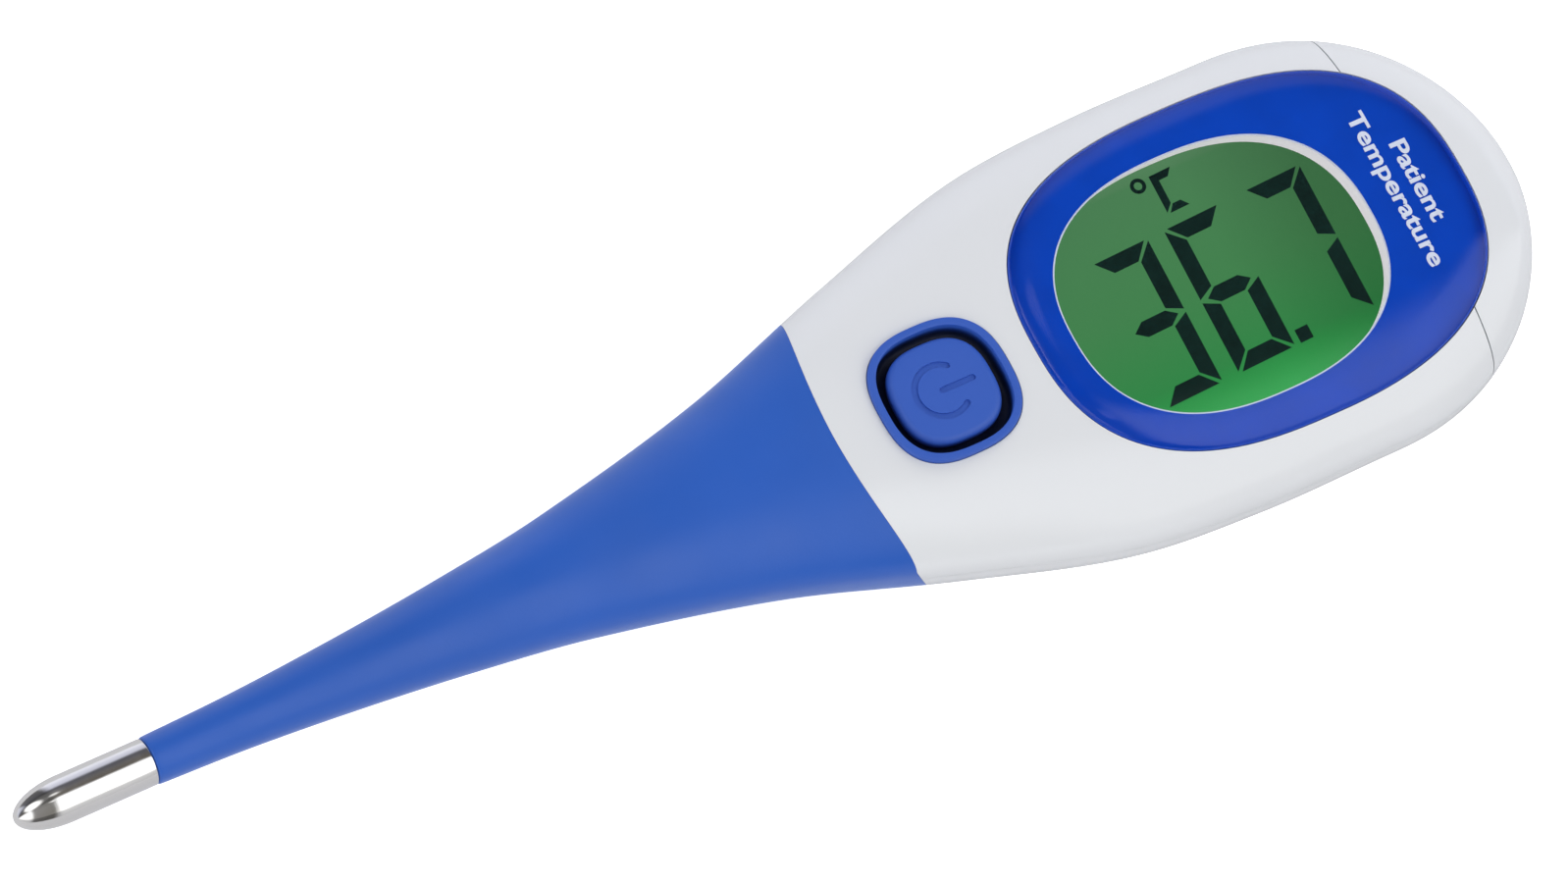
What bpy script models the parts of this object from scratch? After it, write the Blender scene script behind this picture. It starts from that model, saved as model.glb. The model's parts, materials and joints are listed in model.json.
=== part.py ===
"""Digital clinical thermometer with a flexible probe, a back-lit display and a slide-out battery.

Row frame: the origin is on the rear housing's flat rest face, under the middle of the display.
+X runs to the head (the battery cap), -X to the sensor tip, and +Z comes out of the display.
"""
import math

import bmesh
import bpy
import numpy as np
from mathutils import Vector

MM = 0.001

# Driving dimensions.
TIP_X = -110.35 * MM
HEAD_X = 28.65 * MM
PARTING_Z = 8.5 * MM            # the widest plane of the body and the axis of the probe
WALL = 1.4 * MM
SEAM = 0.1 * MM                 # gap between the two housings
JUNCTION_X = -36.1 * MM         # where the soft sleeve meets the housings
JUNCTION_GAP = 0.15 * MM
JUNCTION_BOW = 1.65 * MM        # how far the junction sweeps back at JUNCTION_REACH
JUNCTION_REACH = 11.0 * MM
CAP_X = 18.0 * MM               # seam between the housings and the battery cap
CAP_GAP = 0.14 * MM

# Body outline: x, half width, height above and depth below the parting plane, section power.
STATIONS = (
    (-98.3, 2.05, 2.05, 2.05, 2.00),
    (-90.0, 2.36, 2.36, 2.36, 2.00),
    (-80.0, 3.10, 2.95, 3.05, 2.00),
    (-70.0, 4.13, 3.50, 3.90, 2.00),
    (-60.0, 5.49, 4.00, 4.75, 2.10),
    (-44.0, 8.92, 4.70, 6.30, 2.30),
    (-30.0, 13.40, 5.30, 7.65, 2.50),
    (-16.0, 17.33, 5.65, 8.65, 2.65),
    (-4.0, 18.35, 5.80, 8.80, 2.70),
    (8.4, 18.30, 5.80, 8.80, 2.70),
)
ROUND_START = 8.4 * MM          # the head's rounded end begins here
PLAN_POWERS = (2.26, 1.77)      # shape of the rounded end seen from above
SIDE_POWERS = (3.5, 2.0)        # and seen from the side

# Display stack: lens outline, printed window, and the heights of the layers.
LENS_CENTRE = 2.77 * MM
LENS_HALF = (20.25 * MM, 14.85 * MM)
LENS_POWER = 2.54
LENS_LIFT = 0.7 * MM            # how far the lens stands proud of the housing
LENS_ROLL = 3.0 * MM            # width of its rolled edge
WINDOW_CENTRE = 0.5 * MM
WINDOW_HALF = (14.1 * MM, 11.4 * MM)
WINDOW_POWER = 2.4
SEAT_Z = 12.1 * MM              # the ledge the lens is glued to
SEAT_THICK = 1.0 * MM
BOARD_LOW = 7.1 * MM
BOARD_TOP = 7.9 * MM
GLASS_CENTRE = 0.3 * MM
GLASS_HALF = (14.4 * MM, 13.2 * MM)
LEDGE_Y = 11.75 * MM            # the front glass overhangs the rear one from here
GLASS_THICK = 0.65 * MM
GLASS_TOP = 10.8 * MM
FILM = 0.12 * MM

# Button and switch.
BUTTON_X = -25.94 * MM
BUTTON_POWER = 2.65
RING_HALF = 5.95 * MM
RING_INNER = 5.3 * MM
PAD_HALF = 4.45 * MM
BUTTON_TOP = 14.2 * MM
BUTTON_TRAVEL = 0.5 * MM
SWITCH_HALF = 2.9 * MM
PLUNGER_TOP = 11.0 * MM
PLUNGER_GAP = 0.3 * MM          # free travel between the button's stem and the plunger

# Battery.
CELL_X = 4.2 * MM
CELL_RADIUS = 10.0 * MM
CELL_THICK = 3.2 * MM
CELL_LOW = 3.15 * MM
TRAY_REAR = -4.5 * MM
TRAY_LOW = 2.35 * MM
TRAY_TOP = 6.55 * MM
TRAY_HALF = 10.9 * MM
TRAY_CORNER = 1.4 * MM
BULKHEAD_X = 15.5 * MM
SEAL_X = 16.6 * MM
SEAL_RADIUS = 0.4 * MM

# Probe.
TIP_RADIUS = 2.0 * MM
TIP_REAR = -98.3 * MM
SHANK_RADIUS = 1.6 * MM
SHANK_REAR = -93.0 * MM
TIP_WALL = 0.25 * MM
SLEEVE_BORE = 1.25 * MM
NECK_FRONT = -50.0 * MM
NECK_REAR = -33.2 * MM
LEAD_RADIUS = 0.2 * MM
LEAD_SPREAD = 0.35 * MM
SPLICE_SPAN = (-79.0 * MM, -67.0 * MM)

SCREW_X = -18.0 * MM
SCREW_Y = 11.5 * MM
BUZZER_X = -24.0 * MM
BUZZER_Z = 2.6 * MM
BUZZER_RADIUS = 6.0 * MM
CHIP_GAP = 0.06 * MM            # solder film between the board and its parts
ABOVE = 18 * MM                 # a height clear of the whole body, for cutters
BELOW = -2 * MM
RING_STEPS = 32                 # points round a full body section

COLOURS = {
    "white_abs": ((0.80, 0.81, 0.83), 0.22, 0.0),
    "blue_tpe": ((0.045, 0.13, 0.58), 0.48, 0.0),
    "blue_rubber": ((0.04, 0.11, 0.50), 0.42, 0.0),
    "blue_print": ((0.010, 0.035, 0.42), 0.20, 0.0),
    "steel": ((0.72, 0.72, 0.70), 0.14, 1.0),
    "clear": ((0.90, 0.93, 0.95), 0.05, 0.0),
    "lcd": ((0.07, 0.22, 0.08), 0.15, 0.0),
    "guide": ((0.35, 0.85, 0.40), 0.30, 0.0),
    "board": ((0.02, 0.20, 0.07), 0.45, 0.0),
    "black": ((0.02, 0.02, 0.022), 0.50, 0.0),
    "brass": ((0.75, 0.55, 0.22), 0.28, 1.0),
    "ceramic": ((0.80, 0.77, 0.70), 0.55, 0.0),
    "nickel": ((0.66, 0.65, 0.62), 0.25, 1.0),
    "epoxy": ((0.12, 0.10, 0.09), 0.35, 0.0),
    "red_wire": ((0.50, 0.03, 0.03), 0.45, 0.0),
    "black_wire": ((0.03, 0.03, 0.03), 0.45, 0.0),
}


# ---------------------------------------------------------------- scene and helpers

def clear_scene():
    for obj in list(bpy.data.objects):
        bpy.data.objects.remove(obj, do_unlink=True)


def new_collection(name):
    collection = bpy.data.collections.new(name)
    bpy.context.scene.collection.children.link(collection)
    return collection


def make_material(name, slot):
    colour, roughness, metallic = COLOURS[slot]
    material = bpy.data.materials.new(name + "_material")
    material.use_nodes = True
    shader = material.node_tree.nodes["Principled BSDF"]
    shader.inputs["Base Color"].default_value = (*colour, 1.0)
    shader.inputs["Roughness"].default_value = roughness
    shader.inputs["Metallic"].default_value = metallic
    return material


def keep(obj, name, slot):
    """Name a finished piece, give it its material and put it in the part's collection."""
    obj.name = name
    obj.data.name = name
    obj.data.materials.clear()
    obj.data.materials.append(make_material(name, slot))
    if obj.type == "MESH":
        obj.data.shade_smooth()
        obj.data.set_sharp_from_angle(angle=math.radians(35))
    for collection in list(obj.users_collection):
        collection.objects.unlink(obj)
    PART.objects.link(obj)
    return obj


def as_cutter(obj, name):
    obj.name = name
    obj.hide_render = True
    obj.display_type = "WIRE"
    for collection in list(obj.users_collection):
        collection.objects.unlink(obj)
    CUTTERS.objects.link(obj)
    return obj


def cut(target, cutter, operation="DIFFERENCE"):
    boolean = target.modifiers.new(cutter.name, "BOOLEAN")
    boolean.operation = operation
    boolean.solver = "EXACT"
    boolean.object = cutter
    return target


def object_from_bmesh(mesh_data):
    mesh = bpy.data.meshes.new("piece")
    bmesh.ops.recalc_face_normals(mesh_data, faces=mesh_data.faces)
    mesh_data.to_mesh(mesh)
    mesh_data.free()
    obj = bpy.data.objects.new("piece", mesh)
    bpy.context.scene.collection.objects.link(obj)
    return obj


def loft(rings, loop=False):
    """Skin equal-length rings of points; loop joins the last ring to the first, else both are capped."""
    mesh_data = bmesh.new()
    rows = [[mesh_data.verts.new(point) for point in ring] for ring in rings]
    count = len(rows[0])
    pairs = list(zip(rows, rows[1:]))
    if loop:
        pairs.append((rows[-1], rows[0]))
    else:
        mesh_data.faces.new(rows[0])
        mesh_data.faces.new(rows[-1])
    for low, high in pairs:
        for i in range(count):
            j = (i + 1) % count
            mesh_data.faces.new((low[i], low[j], high[j], high[i]))
    bmesh.ops.remove_doubles(mesh_data, verts=mesh_data.verts, dist=0.001 * MM)
    bmesh.ops.dissolve_degenerate(mesh_data, edges=mesh_data.edges, dist=0.001 * MM)
    return object_from_bmesh(mesh_data)


def box(low, high, bevel=0.0):
    low, high = Vector(low), Vector(high)
    bpy.ops.mesh.primitive_cube_add(size=1.0, location=(low + high) / 2)
    obj = bpy.context.object
    obj.scale = high - low
    bpy.ops.object.transform_apply(location=False, rotation=False, scale=True)
    if bevel:
        edge = obj.modifiers.new("edges", "BEVEL")
        edge.width = bevel
        edge.segments = 2
    return obj


def cylinder(radius, low, high, axis="Z", steps=32):
    """A cylinder between two points that differ along one axis."""
    low, high = Vector(low), Vector(high)
    turn = {"Z": (0, 0, 0), "X": (0, math.pi / 2, 0)}[axis]
    bpy.ops.mesh.primitive_cylinder_add(
        radius=radius, depth=(high - low).length, vertices=steps,
        location=(low + high) / 2, rotation=turn)
    return bpy.context.object


def turned(profile, location, steps=32, towards_tip=False):
    """Spin (radius, height) points, listed down the outer side, about local Z."""
    mesh_data = bmesh.new()
    points = [mesh_data.verts.new((radius, 0, height)) for radius, height in profile]
    for start, end in zip(points, points[1:]):
        mesh_data.edges.new((start, end))
    if profile[0][0] > 0:
        mesh_data.edges.new((points[-1], points[0]))
    mesh = bpy.data.meshes.new("turned")
    mesh_data.to_mesh(mesh)
    mesh_data.free()
    obj = bpy.data.objects.new("turned", mesh)
    bpy.context.scene.collection.objects.link(obj)
    obj.location = location
    if towards_tip:
        obj.rotation_euler = (0, -math.pi / 2, 0)
    screw = obj.modifiers.new("spin", "SCREW")
    screw.steps = steps
    screw.render_steps = steps
    screw.use_merge_vertices = True
    screw.merge_threshold = 0.005 * MM
    return obj


def wire(points, radius, cyclic=False):
    curve = bpy.data.curves.new("wire", "CURVE")
    curve.dimensions = "3D"
    curve.bevel_depth = radius
    curve.bevel_resolution = 2
    curve.use_fill_caps = True
    spline = curve.splines.new("POLY")
    spline.points.add(len(points) - 1)
    for target, point in zip(spline.points, points):
        target.co = (*point, 1.0)
    spline.use_cyclic_u = cyclic
    obj = bpy.data.objects.new("wire", curve)
    bpy.context.scene.collection.objects.link(obj)
    return obj


def plate(outlines, thickness, location, upright=False):
    """A flat outline with holes; upright stands it in the XZ plane, its thickness along Y."""
    curve = bpy.data.curves.new("plate", "CURVE")
    curve.dimensions = "2D"
    curve.fill_mode = "BOTH"
    curve.extrude = thickness / 2
    for outline in outlines:
        spline = curve.splines.new("POLY")
        spline.points.add(len(outline) - 1)
        for target, (across, along) in zip(spline.points, outline):
            target.co = (across, along, 0, 1)
        spline.use_cyclic_u = True
    obj = bpy.data.objects.new("plate", curve)
    bpy.context.scene.collection.objects.link(obj)
    obj.location = location
    if upright:
        obj.rotation_euler = (math.pi / 2, 0, 0)
    return obj


# ---------------------------------------------------------------- outlines

def signed_power(value, power):
    return math.copysign(abs(value) ** power, value)


def ring_xy(radius, steps=24):
    angles = [2 * math.pi * i / steps for i in range(steps)]
    return [(radius * math.cos(a), radius * math.sin(a)) for a in angles]


def superellipse(centre_x, half_x, half_y, power, z, steps=40):
    points = []
    for i in range(steps):
        angle = 2 * math.pi * i / steps
        x = centre_x + half_x * signed_power(math.cos(angle), 2 / power)
        y = half_y * signed_power(math.sin(angle), 2 / power)
        points.append((x, y, z))
    return points


def lens_ring(offset, z):
    return superellipse(LENS_CENTRE, LENS_HALF[0] + offset, LENS_HALF[1] + offset, LENS_POWER, z)


def window_ring(offset, z):
    return superellipse(WINDOW_CENTRE, WINDOW_HALF[0] + offset, WINDOW_HALF[1] + offset, WINDOW_POWER, z)


def button_ring(half, z):
    return superellipse(BUTTON_X, half, half, BUTTON_POWER, z, steps=24)


def circle(radius, x, steps=RING_STEPS):
    """A ring round the probe's axis."""
    angles = [2 * math.pi * i / steps for i in range(steps)]
    return [(x, radius * math.cos(a), PARTING_Z + radius * math.sin(a)) for a in angles]


def rounded_rectangle(half_y, low, high, radius, x, steps=5):
    """A ring across X with rounded corners."""
    points = []
    middle, half_z = (low + high) / 2, (high - low) / 2
    for corner, (sign_y, sign_z) in enumerate(((1, 1), (-1, 1), (-1, -1), (1, -1))):
        for i in range(steps + 1):
            angle = math.pi / 2 * (corner + i / steps)
            y = sign_y * (half_y - radius) + radius * math.cos(angle)
            z = middle + sign_z * (half_z - radius) + radius * math.sin(angle)
            points.append((x, y, z))
    return points


# ---------------------------------------------------------------- body surface

def station_value(x, column):
    """Smooth curve through one column of the stations."""
    xs = [row[0] * MM for row in STATIONS]
    values = [row[column] * (1 if column == 4 else MM) for row in STATIONS]
    x = min(max(x, xs[0]), xs[-1])
    i = min(np.searchsorted(xs, x, side="right") - 1, len(xs) - 2)

    def slope(k):
        if k == 0:
            return (values[1] - values[0]) / (xs[1] - xs[0])
        if k == len(xs) - 1:
            return 0.0
        return (values[k + 1] - values[k - 1]) / (xs[k + 1] - xs[k - 1])

    span = xs[i + 1] - xs[i]
    t = (x - xs[i]) / span
    start = (1 + 2 * t) * (1 - t) ** 2 * values[i] + t * (1 - t) ** 2 * span * slope(i)
    end = t * t * (3 - 2 * t) * values[i + 1] - t * t * (1 - t) * span * slope(i + 1)
    return start + end


def body_section(x, inset=0.0):
    """Half width, height, depth and section power of the body at x, shrunk by an inset."""
    width, height, depth, power = (station_value(x, column) for column in (1, 2, 3, 4))
    t = min(max((x - ROUND_START) / (HEAD_X - ROUND_START - inset), 0.0), 1.0)
    plan = (1 - t ** PLAN_POWERS[0]) ** (1 / PLAN_POWERS[1])
    side = (1 - t ** SIDE_POWERS[0]) ** (1 / SIDE_POWERS[1])
    return (width - inset) * plan, (height - inset) * side, (depth - inset) * side, power


def surface_point(x, angle, inset=0.0, seam=0.0):
    """A point on the body; the underside is clipped to the flat rest face."""
    width, height, depth, power = body_section(x, inset)
    y = width * signed_power(math.cos(angle), 2 / power)
    rise = signed_power(math.sin(angle), 2 / power)
    reach = height if rise >= 0 else depth
    start = math.copysign(seam / 2, rise) if seam else 0.0
    z = PARTING_Z + start + rise * (reach - seam / 2)
    return (x, y, max(z, inset))


def top_height(x, y):
    """Height of the body's upper surface above the rest plane."""
    width, height, _, power = body_section(x)
    ratio = min(abs(y) / width, 1.0)
    return PARTING_Z + height * (1 - ratio ** power) ** (1 / power)


def body_ring(x, inset=0.0):
    angles = [2 * math.pi * i / RING_STEPS for i in range(RING_STEPS)]
    return [surface_point(x, angle, inset) for angle in angles]


def half_ring(x, side):
    """The upper (side 1) or lower (side -1) half of a section, closed along the parting plane."""
    steps = RING_STEPS // 2
    edge = 0.0002               # keeps the first and last points on their own side of the seam
    angles = [side * angle for angle in spread(edge, math.pi - edge, steps + 1)]
    return [surface_point(x, angle, 0.0, SEAM) for angle in angles]


def junction_x(y):
    """Where the front housing starts, at a distance y from the middle."""
    return JUNCTION_X + JUNCTION_BOW * (y / JUNCTION_REACH) ** 2


def junction_side():
    """Where the bowed junction reaches the sides; from there it runs straight across the underside."""
    x = JUNCTION_X
    for _ in range(6):
        x = junction_x(body_section(x)[0])
    return x


def junction_ring(inset, gap):
    """A ring along the line where the sleeve ends."""
    points = []
    for i in range(RING_STEPS):
        angle = 2 * math.pi * i / RING_STEPS
        point = surface_point(junction_side() - gap, angle, inset)
        if angle <= math.pi:
            for _ in range(6):
                point = surface_point(junction_x(point[1]) - gap, angle, inset)
        points.append(point)
    return points


def spread(start, end, count):
    return [start + (end - start) * i / (count - 1) for i in range(count)]


def head_stations(start, inset, count):
    """x values that crowd towards the rounded end."""
    end = HEAD_X - inset
    return [end - (end - start) * (1 - i / (count - 1)) ** 2 for i in range(count)]


# ---------------------------------------------------------------- probe

def build_tip():
    """A drawn steel cup: a bullet nose, a straight barrel and a narrower shank inside the sleeve."""
    nose = 4.5 * MM
    length = TIP_REAR - TIP_X
    shank = SHANK_REAR - TIP_X

    def nose_curve(radius, depth, steps=6):
        curve = []
        for i in range(steps):
            angle = math.pi / 2 * i / (steps - 1)
            curve.append((radius * math.sin(angle), -depth + depth * math.cos(angle)))
        return curve

    outer = nose_curve(TIP_RADIUS, nose)
    outer += [(TIP_RADIUS, -length), (SHANK_RADIUS, -length - 0.05 * MM), (SHANK_RADIUS, -shank)]
    bore = SHANK_RADIUS - TIP_WALL
    inner = [(bore, -shank), (bore, -nose)]
    bore_nose = nose_curve(bore, nose - 2 * TIP_WALL)
    inner += [(radius, depth - 2 * TIP_WALL) for radius, depth in bore_nose[-2::-1]]
    cap = turned(outer + inner, (TIP_X, 0, PARTING_Z), 28, True)
    keep(cap, "tip_cap", "steel")

    fill = bore - 0.1 * MM
    bead_bore = 0.85 * MM
    nose_fill = nose_curve(fill, nose - 3 * TIP_WALL)
    potting = [(radius, depth - 3 * TIP_WALL) for radius, depth in nose_fill]
    fill_rear = length + 3 * MM
    potting += [(fill, -fill_rear), (bead_bore, -fill_rear), (bead_bore, -3.2 * MM), (0, -2.6 * MM)]
    keep(turned(potting, (TIP_X, 0, PARTING_Z), 16, True), "tip_potting", "epoxy")

    bpy.ops.mesh.primitive_uv_sphere_add(
        segments=12, ring_count=8, radius=0.65 * MM, location=(TIP_X + 4.2 * MM, 0, PARTING_Z))
    keep(bpy.context.object, "thermistor_bead", "black")


def build_leads():
    """Two enamelled sensor leads from the bead to the board, with a tube over their splice."""
    for side, name in ((1, "sensor_lead_a"), (-1, "sensor_lead_b")):
        route = (
            (TIP_X + 5.0 * MM, side * LEAD_SPREAD, PARTING_Z),
            (NECK_FRONT - 2 * MM, side * LEAD_SPREAD, PARTING_Z),
            (-42 * MM, side * 0.9 * MM, PARTING_Z),
            (-34 * MM, side * 1.5 * MM, BOARD_TOP + 0.5 * MM),
            (-29.4 * MM, side * 1.5 * MM, BOARD_TOP + LEAD_RADIUS + 0.1 * MM),
        )
        keep(wire(route, LEAD_RADIUS), name, "nickel" if side > 0 else "brass")
    rings = [circle(radius, x, 20) for radius, x in (
        (1.1 * MM, SPLICE_SPAN[0]), (1.1 * MM, SPLICE_SPAN[1]),
        (0.75 * MM, SPLICE_SPAN[1]), (0.75 * MM, SPLICE_SPAN[0]))]
    keep(loft(rings, loop=True), "lead_splice_tube", "black")


def build_sleeve():
    """The soft blue probe sleeve, bored for the leads and socketed over the stiff neck."""
    socket = WALL + 0.15 * MM
    front = TIP_REAR + 0.1 * MM
    rings = [body_ring(x) for x in spread(front, JUNCTION_X - 4 * MM, 13)]
    rings.append(junction_ring(0.0, JUNCTION_GAP))
    rings.append(junction_ring(socket, JUNCTION_GAP))
    rings += [body_ring(x, socket) for x in spread(JUNCTION_X - 4 * MM, NECK_FRONT - 0.3 * MM, 4)]
    pocket = SHANK_RADIUS + 0.1 * MM
    rings += [circle(radius, x) for radius, x in (
        (SLEEVE_BORE, NECK_FRONT - 0.3 * MM), (SLEEVE_BORE, SHANK_REAR + 0.1 * MM),
        (pocket, SHANK_REAR + 0.1 * MM), (pocket, front))]
    keep(loft(rings, loop=True), "flexible_sleeve", "blue_tpe")


def build_neck():
    """A stiff tube that carries the sleeve and spigots into the housings."""
    outer = WALL + 0.3 * MM
    inner = outer + 1.2 * MM
    xs = spread(NECK_FRONT, NECK_REAR, 5)
    rings = [body_ring(x, outer) for x in xs] + [body_ring(x, inner) for x in reversed(xs)]
    keep(loft(rings, loop=True), "neck_insert", "white_abs")


# ---------------------------------------------------------------- housings and cap

def junction_cutter():
    """Everything on the sleeve's side of the bowed junction."""
    reach = 20 * MM
    arc = [(junction_x(y), y) for y in spread(-reach, reach, 25)]
    outline = arc + [(-60 * MM, reach), (-60 * MM, -reach)]
    rings = [[(x, y, z) for x, y in outline] for z in (BELOW, ABOVE)]
    return as_cutter(loft(rings), "junction_cutter")


def hollow_cutter(name):
    """The space inside both housings, up to the bulkhead."""
    xs = spread(-44 * MM, ROUND_START, 14) + [12 * MM, BULKHEAD_X]
    return as_cutter(loft([body_ring(x, WALL) for x in xs]), name)


def prism_cutter(name, ring, size, low):
    """An outline's prism from a height up through the top of the body."""
    return as_cutter(loft([ring(size, low), ring(size, ABOVE)]), name)


def screw_places():
    return ((SCREW_X, SCREW_Y), (SCREW_X, -SCREW_Y))


def build_front_housing():
    """The upper shell; a tongue under the lens reaches past the cap's seam."""
    xs = spread(-44 * MM, ROUND_START, 14) + spread(12 * MM, 24 * MM, 6)
    housing = loft([half_ring(x, 1) for x in xs])
    hollow = hollow_cutter("front_hollow")
    seat_low = SEAT_Z - SEAT_THICK
    cut(hollow, prism_cutter("lens_collar", lens_ring, 1.2 * MM, seat_low))
    zone_reach = 25 * MM
    zone = box((CAP_X - CAP_GAP / 2, -zone_reach, BELOW), (HEAD_X + zone_reach, zone_reach, ABOVE + MM))
    cap_zone = as_cutter(zone, "cap_zone")
    cut(cap_zone, prism_cutter("lens_tongue", lens_ring, -0.05 * MM, seat_low))
    pocket = prism_cutter("lens_pocket", lens_ring, 0.12 * MM, SEAT_Z)
    window = prism_cutter("window_hole", window_ring, 0.45 * MM, seat_low - 2 * MM)
    hole = prism_cutter("button_hole", button_ring, RING_HALF + 0.12 * MM, seat_low - MM)
    for cutter in (junction_cutter(), hollow, cap_zone, pocket, window, hole):
        cut(housing, cutter)
    keep(housing, "front_housing", "white_abs")


def build_rear_housing():
    """The lower shell, with screw bosses, a buzzer seat and the bulkhead the battery slides through."""
    xs = spread(junction_side(), ROUND_START, 13) + [12 * MM, 15 * MM, CAP_X - CAP_GAP / 2]
    housing = loft([half_ring(x, -1) for x in xs])
    hollow = hollow_cutter("rear_hollow")
    for i, (x, y) in enumerate(screw_places()):
        boss = cylinder(1.7 * MM, (x, y, BELOW), (x, y, BOARD_LOW - 0.1 * MM), steps=20)
        cut(hollow, as_cutter(boss, "screw_boss_%d" % i))
    seat_inner, seat_outer = BUZZER_RADIUS + 0.2 * MM, BUZZER_RADIUS + 0.9 * MM
    seat_top = BUZZER_Z + 0.4 * MM
    corners = ((seat_outer, BELOW), (seat_outer, seat_top), (seat_inner, seat_top), (seat_inner, BELOW))
    seat_rings = [[(BUZZER_X + x, y, z) for x, y in ring_xy(radius)] for radius, z in corners]
    cut(hollow, as_cutter(loft(seat_rings, loop=True), "buzzer_seat"))
    cut(housing, hollow)
    for i, (x, y) in enumerate(screw_places()):
        pilot = cylinder(0.8 * MM, (x, y, 3.4 * MM), (x, y, ABOVE), steps=16)
        cut(housing, as_cutter(pilot, "screw_pilot_%d" % i))
    slot = [tray_ring(x, 0.2 * MM) for x in (BULKHEAD_X - 2 * MM, CAP_X + 2 * MM)]
    cut(housing, as_cutter(loft(slot), "battery_slot"))
    keep(housing, "rear_housing", "white_abs")


def build_battery_cap():
    """The crescent round the head, notched for the lens and its tongue."""
    start = CAP_X + CAP_GAP / 2
    outer = [body_ring(x) for x in head_stations(start, 0.0, 8)]
    inner = [body_ring(x, WALL) for x in head_stations(start, WALL, 6)]
    inner[0] = body_ring(start - 1 * MM, WALL)
    cap = loft(outer)
    cut(cap, as_cutter(loft(inner), "cap_hollow"))
    cut(cap, prism_cutter("lens_notch", lens_ring, 0.2 * MM, SEAT_Z - SEAT_THICK - 0.2 * MM))
    keep(cap, "battery_cap", "white_abs")


# ---------------------------------------------------------------- battery drawer

def tray_ring(x, grow=0.0):
    return rounded_rectangle(TRAY_HALF + grow, TRAY_LOW - grow, TRAY_TOP + grow, TRAY_CORNER + grow, x)


def build_tray():
    """A tray for the cell, open at the back, with a sealed plug and a tongue that clips into the cap."""
    tongue = (6.5 * MM, 3.3 * MM, 5.6 * MM, 0.6 * MM)
    front = CAP_X - 0.4 * MM
    tray = loft([
        tray_ring(TRAY_REAR),
        tray_ring(front),
        rounded_rectangle(*tongue, front),
        rounded_rectangle(*tongue, CAP_X + 3 * MM),
    ])
    floor = (CELL_X, 0, CELL_LOW - 0.1 * MM)
    pocket = cylinder(CELL_RADIUS + 0.15 * MM, floor, (CELL_X, 0, ABOVE), steps=48)
    cut(tray, as_cutter(pocket, "cell_pocket"))
    depth = 0.85 * MM
    half = SEAL_RADIUS + 0.15 * MM
    corners = ((MM, -half), (MM, half), (-depth, half), (-depth, -half))
    groove = [tray_ring(SEAL_X + along, grow) for grow, along in corners]
    cut(tray, as_cutter(loft(groove, loop=True), "seal_groove"))
    keep(tray, "battery_tray", "white_abs")
    squeeze = 0.12 * MM
    keep(wire(tray_ring(SEAL_X, squeeze - SEAL_RADIUS), SEAL_RADIUS, cyclic=True), "battery_seal", "black")


def build_cell():
    """A lithium coin cell, its narrower lid facing the board."""
    rim = 0.25 * MM
    lid = 8.9 * MM
    cell = turned((
        (0, CELL_THICK), (lid - rim, CELL_THICK), (lid, CELL_THICK - rim), (lid, CELL_THICK - 2 * rim),
        (CELL_RADIUS - rim, CELL_THICK - 2 * rim), (CELL_RADIUS, CELL_THICK - 3 * rim),
        (CELL_RADIUS, rim), (CELL_RADIUS - rim, 0), (0, 0)), (CELL_X, 0, CELL_LOW), 32)
    keep(cell, "coin_cell", "nickel")


def build_contacts():
    """Two sprung strips soldered under the board: one on the cell's lid, one on its rim."""
    strip = 0.2 * MM
    foot = BOARD_LOW - 0.1 * MM
    lid = CELL_LOW + CELL_THICK + 0.08 * MM
    negative = (
        (12 * MM, foot), (8.5 * MM, foot), (3 * MM, lid + strip), (1 * MM, foot - 2 * strip),
        (0.8 * MM, foot - 3 * strip), (3 * MM, lid), (8.5 * MM, foot - strip), (12 * MM, foot - strip))
    keep(plate([negative], 4 * MM, (0, 0, 0), upright=True), "contact_negative", "nickel")
    rear = CELL_X - CELL_RADIUS - 0.15 * MM
    toe, end = CELL_LOW + 0.6 * MM, rear - 3 * MM
    positive = (
        (end, foot), (rear - strip, foot), (rear, foot - strip), (rear, toe),
        (rear - strip, toe), (rear - strip, foot - strip), (end, foot - strip))
    keep(plate([positive], 4 * MM, (0, 0, 0), upright=True), "contact_positive", "nickel")


# ---------------------------------------------------------------- display

def build_lens():
    """A clear moulded lens whose top follows the housing's crown, over its printed surround."""
    rings = [lens_ring(0.0, SEAT_Z + 0.45 * MM)]
    for inward in (0.0, 0.4 * MM, 1.2 * MM, LENS_ROLL, 7 * MM, 12 * MM):
        lift = LENS_LIFT * (1 - (1 - min(inward / LENS_ROLL, 1)) ** 2.5)
        ring = lens_ring(-inward, 0.0)
        rings.append([(x, y, top_height(x, y) + lift) for x, y, _ in ring])
    keep(loft(rings), "display_lens", "clear")
    layers = (
        ("lens_print", "blue_print", -0.3 * MM, 0.0, SEAT_Z + 0.25 * MM),
        ("lens_adhesive", "black", -0.6 * MM, 0.8 * MM, SEAT_Z + 0.06 * MM))
    for name, slot, lens_offset, window_offset, low in layers:
        high = low + FILM
        rings = [lens_ring(lens_offset, low), lens_ring(lens_offset, high),
                 window_ring(window_offset, high), window_ring(window_offset, low)]
        keep(loft(rings, loop=True), name, slot)


def rectangle_xy(centre_x, half_x, half_y, z):
    left, right = centre_x - half_x, centre_x + half_x
    return [(left, -half_y, z), (right, -half_y, z), (right, half_y, z), (left, half_y, z)]


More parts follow.
